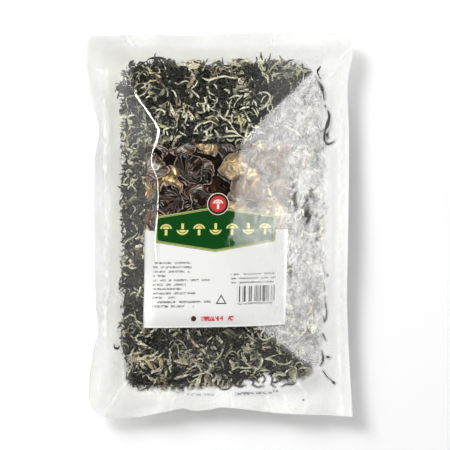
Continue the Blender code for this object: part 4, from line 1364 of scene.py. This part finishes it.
def cup_layer(tree, place, below, offset, pitch, radius, share):
    """A layer of cups over what is below: one to a cell, each with its own turn, size, kind
    and fanned folds. Share is how many of the cells have one."""
    moved = vector_maths(tree, "ADD", place, offset).outputs[0]
    cell = node(tree, "TexVoronoi", Vector=moved, Scale=1.0 / pitch, Randomness=0.75)
    cell.voronoi_dimensions = "2D"
    turn, size, kind = split(tree, cell.outputs["Color"])
    # More tan ones towards the right
    at = split(tree, cell.outputs["Position"])[0]
    right = node(tree, "MapRange", Value=at, From_Min=offset[0] + 84.0, From_Max=offset[0] + 112.0,
                 To_Min=0.0, To_Max=1.0).outputs[0]
    tan = maths(tree, "MULTIPLY", maths(tree, "LESS_THAN", kind, 0.42), right)
    kind = maths(tree, "MULTIPLY_ADD", tan, 0.36, kind)
    local = vector_maths(tree, "SUBTRACT", moved, cell.outputs["Position"]).outputs[0]
    turned = node(tree, "VectorRotate", Vector=local,
                  Angle=maths(tree, "MULTIPLY", turn, 6.2832)).outputs[0]
    reach = maths(tree, "MULTIPLY_ADD", size, radius * 0.45, radius * 0.75)
    shaped = vector_maths(tree, "MULTIPLY", turned, (1.0, 1.32, 0.0)).outputs[0]
    away = maths(tree, "DIVIDE", vector_maths(tree, "LENGTH", shaped).outputs["Value"], reach)
    side_x, side_y, _ = split(tree, shaped)
    fan = maths(tree, "ARCTAN2", maths(tree, "MULTIPLY_ADD", reach, 0.8, side_y), side_x)
    sweep = node(tree, "CombineXYZ", X=maths(tree, "MULTIPLY", fan, 4.5),
                 Y=maths(tree, "MULTIPLY", away, 1.6), Z=maths(tree, "MULTIPLY", kind, 90.0))
    folded = node(tree, "TexNoise", Vector=sweep.outputs[0], Scale=1.0, Detail=3.0,
                  Roughness=0.6)
    flesh = ramped(tree, away, CUPS[0])
    for limit, stops in zip((0.42, 0.64, 0.80), CUPS[1:]):
        flesh = mixed(tree, maths(tree, "GREATER_THAN", kind, limit), flesh,
                      ramped(tree, away, stops))
    gloss = ramped(tree, folded.outputs["Fac"],
                   [(0.32, (0.14, 0.12, 0.10)), (0.47, (0.8, 0.72, 0.60)),
                    (0.56, (1.7, 1.52, 1.30)), (0.63, (4.4, 4.2, 3.8))])
    lit = tree.nodes.new("ShaderNodeMix")
    lit.data_type, lit.blend_type = "RGBA", "MULTIPLY"
    lit.inputs["Factor"].default_value = 1.0
    tree.links.new(flesh, lit.inputs[6])
    tree.links.new(gloss, lit.inputs[7])
    gills = node(tree, "CombineXYZ", X=maths(tree, "MULTIPLY", fan, 15.0),
                 Y=maths(tree, "MULTIPLY", away, 2.2), Z=maths(tree, "MULTIPLY", kind, 50.0))
    streak = node(tree, "TexNoise", Vector=gills.outputs[0], Scale=1.0, Detail=2.0)
    streaks = ramped(tree, streak.outputs["Fac"], [(0.55, (0, 0, 0)), (0.66, (1, 1, 1))])
    wet = maths(tree, "MULTIPLY", streaks, maths(tree, "LESS_THAN", size, 0.62))
    flesh = mixed(tree, maths(tree, "MULTIPLY", wet, 0.55), lit.outputs[2], (0.50, 0.50, 0.48))
    # The rim catches the light here and there
    thin = maths(tree, "SUBTRACT", 1.0, maths(tree, "MULTIPLY",
                 maths(tree, "ABSOLUTE", maths(tree, "SUBTRACT", away, 0.965)), 28.0), clamp=True)
    caught = ramped(tree, folded.outputs["Fac"], [(0.38, (0.12, 0.12, 0.12)), (0.60, (1, 1, 1))])
    flesh = mixed(tree, maths(tree, "MULTIPLY", thin, caught), flesh, (0.60, 0.51, 0.42))
    # Painted reflection: cups towards the right are mixed towards pale tan, as the film's
    # reflection whitens them
    flesh = mixed(tree, maths(tree, "MULTIPLY", right, 0.22), flesh, (0.44, 0.39, 0.32))
    there = maths(tree, "LESS_THAN", turn, share)
    shade = maths(tree, "MULTIPLY", maths(tree, "LESS_THAN", away, 1.10), 0.8)
    below = mixed(tree, maths(tree, "MULTIPLY", shade, there), below, (0.003, 0.002, 0.001))
    return mixed(tree, maths(tree, "MULTIPLY", maths(tree, "LESS_THAN", away, 1.0), there),
                 below, flesh)


def picture(tree, place):
    """Overlapping wet cups with pale rims, in a layout of this script's own."""
    warp = node(tree, "TexNoise", Vector=place, Scale=0.07, Detail=3.0)
    bent = vector_maths(tree, "MULTIPLY", warp.outputs["Color"], (16.0, 16.0, 0.0))
    moved = vector_maths(tree, "ADD", bent.outputs[0], place).outputs[0]
    wet = node(tree, "TexNoise", Vector=moved, Scale=0.16, Detail=4.0, Roughness=0.7)
    colour = ramped(tree, wet.outputs["Fac"], [(0.4, (0.004, 0.003, 0.003)),
                                               (0.7, (0.022, 0.012, 0.008))])
    for offset, pitch, radius, share in CUP_LAYERS:
        colour = cup_layer(tree, moved, colour, offset, pitch, radius, share)
    return colour


def disc(tree, x, y, colour, cx, cy, radius, shade):
    away = maths(tree, "ADD", maths(tree, "POWER", maths(tree, "SUBTRACT", x, cx), 2.0),
                 maths(tree, "POWER", maths(tree, "SUBTRACT", y, cy), 2.0))
    return mixed(tree, maths(tree, "LESS_THAN", away, radius * radius), colour, shade)


def triangle_mark(tree, x, y, colour):
    """A small plain outlined triangle."""
    dx, dy = maths(tree, "SUBTRACT", x, 77.8), maths(tree, "SUBTRACT", y, 26.0)
    side = maths(tree, "MULTIPLY_ADD", maths(tree, "ABSOLUTE", dx), 0.866,
                 maths(tree, "MULTIPLY", dy, 0.5))
    edge = maths(tree, "MAXIMUM", side, maths(tree, "MULTIPLY", dy, -1.0))
    outline = maths(tree, "MULTIPLY", maths(tree, "LESS_THAN", edge, 3.2),
                    maths(tree, "GREATER_THAN", edge, 2.1))
    return mixed(tree, outline, colour, (0.05, 0.05, 0.05))


def plaque(tree, x, y, colour):
    """A plain green six-sided plaque with two thin gold lines round it."""
    across = maths(tree, "ABSOLUTE", maths(tree, "SUBTRACT", x, 70.8))
    up = maths(tree, "ABSOLUTE", maths(tree, "SUBTRACT", y, 96.3))
    slanted = maths(tree, "MULTIPLY_ADD", across, 0.158, up)
    side = maths(tree, "SUBTRACT", across, 60.2)
    slope = maths(tree, "SUBTRACT", slanted, 22.3)
    # rounded where the two meet
    edge = tree.nodes.new("ShaderNodeMath")
    edge.operation = "SMOOTH_MAX"
    tree.links.new(side, edge.inputs[0])
    tree.links.new(slope, edge.inputs[1])
    edge.inputs[2].default_value = 4.0
    edge = edge.outputs[0]
    bands = [(0.0, (0.03, 0.12, 0.03)), (-0.5, (0.62, 0.60, 0.22)), (-1.2, (0.02, 0.10, 0.025)),
             (-1.8, (0.58, 0.58, 0.20)), (-2.3, (0.004, 0.064, 0.008))]
    for limit, shade in bands:
        colour = mixed(tree, maths(tree, "LESS_THAN", edge, limit), colour, shade)
    return colour


def ornaments(tree, x, y, colour):
    """Seven small gold mushrooms in a row, every second one upside down."""
    row = maths(tree, "DIVIDE", maths(tree, "SUBTRACT", x, 13.5), 16.4)
    dx = maths(tree, "MULTIPLY", maths(tree, "SUBTRACT", maths(tree, "FRACT", row), 0.5), 16.4)
    odd = maths(tree, "MODULO", maths(tree, "FLOOR", row), 2.0)
    turn = maths(tree, "MULTIPLY_ADD", odd, -2.0, 1.0)
    dy = maths(tree, "MULTIPLY", maths(tree, "SUBTRACT", y, 96.3), turn)
    within = box_mask(tree, x, y, 13.5, 128.3, 85.0, 108.0)
    return mixed(tree, maths(tree, "MULTIPLY", mushroom(tree, dx, dy, 1.0), within), colour,
                 (0.74, 0.70, 0.24))


def mushroom(tree, dx, dy, size):
    """A half-round cap with a gap under it and a stem, about 12 mm high at size 1."""
    away = maths(tree, "ADD", maths(tree, "POWER", dx, 2.0),
                 maths(tree, "POWER", maths(tree, "MULTIPLY", dy, 1.15), 2.0))
    cap = product(tree, maths(tree, "LESS_THAN", away, (6.0 * size) ** 2),
                  maths(tree, "GREATER_THAN", dy, 0.6 * size),
                  maths(tree, "GREATER_THAN", maths(tree, "ABSOLUTE",
                                                    maths(tree, "SUBTRACT", away,
                                                          (3.9 * size) ** 2)),
                        3.2 * size * size))
    stem = product(tree, maths(tree, "LESS_THAN", maths(tree, "ABSOLUTE", dx), 1.3 * size),
                   maths(tree, "LESS_THAN", dy, -0.3 * size),
                   maths(tree, "GREATER_THAN", dy, -5.8 * size))
    return maths(tree, "MAXIMUM", cap, stem)


# ---------------------------------------------------------------------------
# Loose shreds in the margins
# ---------------------------------------------------------------------------

# Width, where along it is broadest, points along it
LOOSE = {
    "loose_shred_01": (1.5, 0.22, [(100.4, 159.0), (98.2, 156.4), (96.9, 153.6),
                                   (98.2, 149.4), (99.8, 146.0)]),
    "loose_shred_02": (1.9, 0.5, [(94.2, 149.8), (97.6, 142.9), (100.9, 137.6),
                                  (103.6, 126.0)]),
    "loose_shred_03": (2.1, 0.35, [(107.0, 115.2), (108.6, 108.6), (106.2, 99.2),
                                   (104.2, 92.4), (103.9, 85.8), (106.2, 81.4),
                                   (110.2, 82.0), (113.6, 84.2)]),
    "loose_shred_04": (1.5, 0.5, [(107.4, 93.4), (106.4, 90.2), (107.6, 87.2)]),
    "loose_shred_05": (1.2, 0.25, [(104.2, -71.4), (104.6, -78.5), (106.0, -86.0),
                                   (105.6, -92.5), (104.0, -95.8)]),
    "loose_shred_06": (1.0, 0.5, [(102.0, -108.0), (103.8, -112.2), (105.2, -114.7)]),
    "loose_shred_07": (1.5, 0.6, [(100.8, -125.4), (102.4, -130.8), (101.6, -136.2),
                                  (99.9, -139.0)]),
    "loose_shred_08": (1.8, 0.5, [(105.6, -131.0), (109.4, -131.9)]),
    "loose_shred_09": (1.3, 0.95, [(102.4, -145.3), (106.6, -151.2), (111.8, -155.6),
                                   (114.2, -158.4)]),
    "loose_shred_10": (1.5, 0.5, [(-106.3, -118.2), (-105.4, -122.0), (-102.2, -122.6),
                                  (-100.6, -119.8)]),
}


def build_loose(material):
    rng = np.random.default_rng(77)
    for name, (width, broadest, points) in LOOSE.items():
        points = np.array(points, float)
        along = np.concatenate([[0], np.cumsum(np.linalg.norm(np.diff(points, axis=0), axis=1))])
        segments = max(int(along[-1] / 0.9), 8)
        t = np.linspace(0, along[-1], segments + 1)
        x = through(list(zip(along, points[:, 0])), t)[None, :]
        y = through(list(zip(along, points[:, 1])), t)[None, :]
        s = (t / along[-1])[None, :]
        taper = (1 - 0.6 * np.abs(2 * s - 1) ** 3) * (
            1 + 0.2 * np.sin(7 * s + rng.uniform(0, 6)) + 0.16 * np.sin(23 * s))
        swell = 1.9 if broadest > 0.9 else 0.8
        broad = 1 + swell * np.exp(-(((s - broadest) / 0.17) ** 2))
        half = width * taper * broad / 2
        thick = np.full_like(half, 0.2)
        roll = rng.normal(0, 0.2) + 0.5 * np.sin(5 * s + rng.uniform(0, 6))
        low, high = back_height(x, y), front_height(x, y, False)
        z = low + 0.62 * (high - low) + 0.1 * np.sin(6 * s)
        rings = ribbon(x, y, z, half, thick, roll)
        quads, which, share, spot = strip_faces(1, segments)
        obj = mesh_object(name + "_curled", rings.reshape(-1, 3), quads)
        uv = strip_uv(rng, 1, segments, which, share, spot, rng.random(1) * 0.5,
                      rng.random(1) * 0.3, 0.3)
        set_uv(obj, uv.reshape(-1, 2))
        obj.data.set_sharp_from_angle(angle=math.radians(50))
        obj.data.materials.append(material)
        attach(obj, "root")
        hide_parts(name)


# ---------------------------------------------------------------------------
# Floor, light and camera
# ---------------------------------------------------------------------------


def area_light(name, away, towards, width, height, power, diffuse=True, glossy=True):
    """A soft box: away is the direction to it from the pouch, in metres."""
    data = bpy.data.lights.new(name, "AREA")
    data.shape, data.size, data.size_y, data.energy = "RECTANGLE", width, height, power
    obj = bpy.data.objects.new(name, data)
    bpy.context.scene.collection.objects.link(obj)
    obj.location = away
    direction = np.array(towards, float) - np.array(away, float)
    from mathutils import Vector
    obj.rotation_mode = "QUATERNION"
    obj.rotation_quaternion = Vector(direction).to_track_quat("-Z", "Y")
    obj.visible_diffuse = diffuse
    obj.visible_glossy = glossy
    obj.visible_transmission = diffuse
    obj.visible_camera = False
    return obj


def build_stage():
    floor = mesh_object("floor", np.array([[-4000, -4000, 0], [4000, -4000, 0],
                                           [4000, 4000, 0], [-4000, 4000, 0.0]]) - [0, 0, 0.05],
                        np.array([[0, 1, 2, 3]]))
    made, tree, out = new_material("white_floor")
    shader = node(tree, "BsdfDiffuse", Color=(0.96, 0.96, 0.96, 1))
    tree.links.new(shader.outputs[0], out.inputs["Surface"])
    floor.data.materials.append(made)

    world = bpy.data.worlds.new("studio")
    world.use_nodes = True
    tree = world.node_tree
    tree.nodes.clear()
    out = tree.nodes.new("ShaderNodeOutputWorld")
    coords = node(tree, "TexCoord")
    _, _, z = split(tree, coords.outputs["Generated"])
    colour = ramped(tree, z, [(0.0, (0.8, 0.8, 0.8)), (0.30, (0.7, 0.7, 0.7)),
                              (0.55, (0.75, 0.75, 0.75)), (0.72, (0.05, 0.05, 0.05)),
                              (1.0, (0.01, 0.01, 0.01))])
    back = node(tree, "Background", Color=colour, Strength=1.0)
    tree.links.new(back.outputs[0], out.inputs["Surface"])
    bpy.context.scene.world = world

    d = 2.0
    key = (-0.525 * d, 0.525 * d, 0.669 * d)
    area_light("key", key, (0, 0, 0.02), 0.93, 0.93, 37.0)
    area_light("fill", (0, 0, 3.0), (0, 0, 0), 4.0, 4.0, 35.0, glossy=False)
    area_light("right_wall", (1.45, 0.0, 2.7), (0.0, 0.0, 2.7), 1.4, 3.0, 88.0, diffuse=False)
    area_light("right_core", (1.52, 0.0, 2.0), (0.0, 0.0, 2.0), 0.3, 1.1, 5.0, diffuse=False)
    area_light("right_low_wall", (1.2, 0.0, 0.70), (0.0, 0.0, 0.70), 1.1, 1.1, 10.0,
               diffuse=False)
    area_light("left_strip", (-0.80, 0.15, 1.00), (-0.06, 0.15, 0.04), 1.6, 0.18, 22.0,
               diffuse=False)


def build_camera():
    data = bpy.data.cameras.new("camera")
    data.lens, data.sensor_width = 160, 36
    data.clip_start, data.clip_end = 0.01, 20
    obj = bpy.data.objects.new("camera", data)
    bpy.context.scene.collection.objects.link(obj)
    obj.location = (0.004784, 0.000366, 2.017)
    bpy.context.scene.camera = obj
    settings = bpy.context.scene.view_settings
    settings.view_transform = "Standard"
    settings.look = "None"
    settings.exposure, settings.gamma = 0.0, 1.0


SHRED_PIECES = ("lower_shreds", "placed_shreds", "upper_crumbs", "upper_flakes",
                "upper_long_strips", "upper_strips_a", "upper_strips_b")
# each sheet, the side of it that faces away from the shreds, and the room kept to it
SHEETS = (("clear_front_film", 1, 0.0003), ("printed_label", 1, 0.0005),
          ("hazy_back_film", -1, 0.0003))
MOST_SHIFT = 0.005


def keep_within_sheets():
    """Moves each shred that reaches through a sheet back, whole, to its own side of it."""
    from mathutils.bvhtree import BVHTree
    trees = {}
    for name, side, room in SHEETS:
        mesh = bpy.data.objects[name].data
        trees[name] = BVHTree.FromPolygons([tuple(v.co) for v in mesh.vertices],
                                           [tuple(p.vertices) for p in mesh.polygons])
    for name in SHRED_PIECES:
        mesh = bpy.data.objects[name].data
        count = len(mesh.vertices)
        points = np.empty(count * 3, np.float32)
        mesh.vertices.foreach_get("co", points)
        points = points.reshape(-1, 3)
        corners = np.empty(len(mesh.loops), np.int32)
        mesh.loops.foreach_get("vertex_index", corners)
        firsts = np.empty(len(mesh.polygons), np.int32)
        mesh.polygons.foreach_get("loop_start", firsts)
        # a shred's points follow one another, so a new shred starts where no face reaches on
        reach = np.zeros(count, np.int64)
        np.add.at(reach, np.minimum.reduceat(corners, firsts), 1)
        np.add.at(reach, np.maximum.reduceat(corners, firsts), -1)
        starts = np.append(0, np.flatnonzero(np.cumsum(reach)[:-1] == 0) + 1)
        sizes = np.diff(np.append(starts, count))
        for sheet, side, room in SHEETS:
            cast = trees[sheet].ray_cast
            past = np.zeros(count, np.float32)
            for i, (x, y, z) in enumerate(points.tolist()):
                hit = cast((x, y, 0.1 * side), (0.0, 0.0, -side), 0.2)[0]
                if hit is not None:
                    past[i] = (z - hit[2]) * side + room
            shift = np.clip(np.maximum.reduceat(past, starts), 0.0, MOST_SHIFT)
            points[:, 2] -= side * np.repeat(shift, sizes)
        mesh.vertices.foreach_set("co", points.ravel())
        mesh.update()


def main():
    build_camera()
    build_stage()
    shred = shred_material()
    build_films()
    build_label()
    build_shreds(shred)
    build_placed(shred)
    build_core()
    build_loose(shred)
    keep_within_sheets()


main()
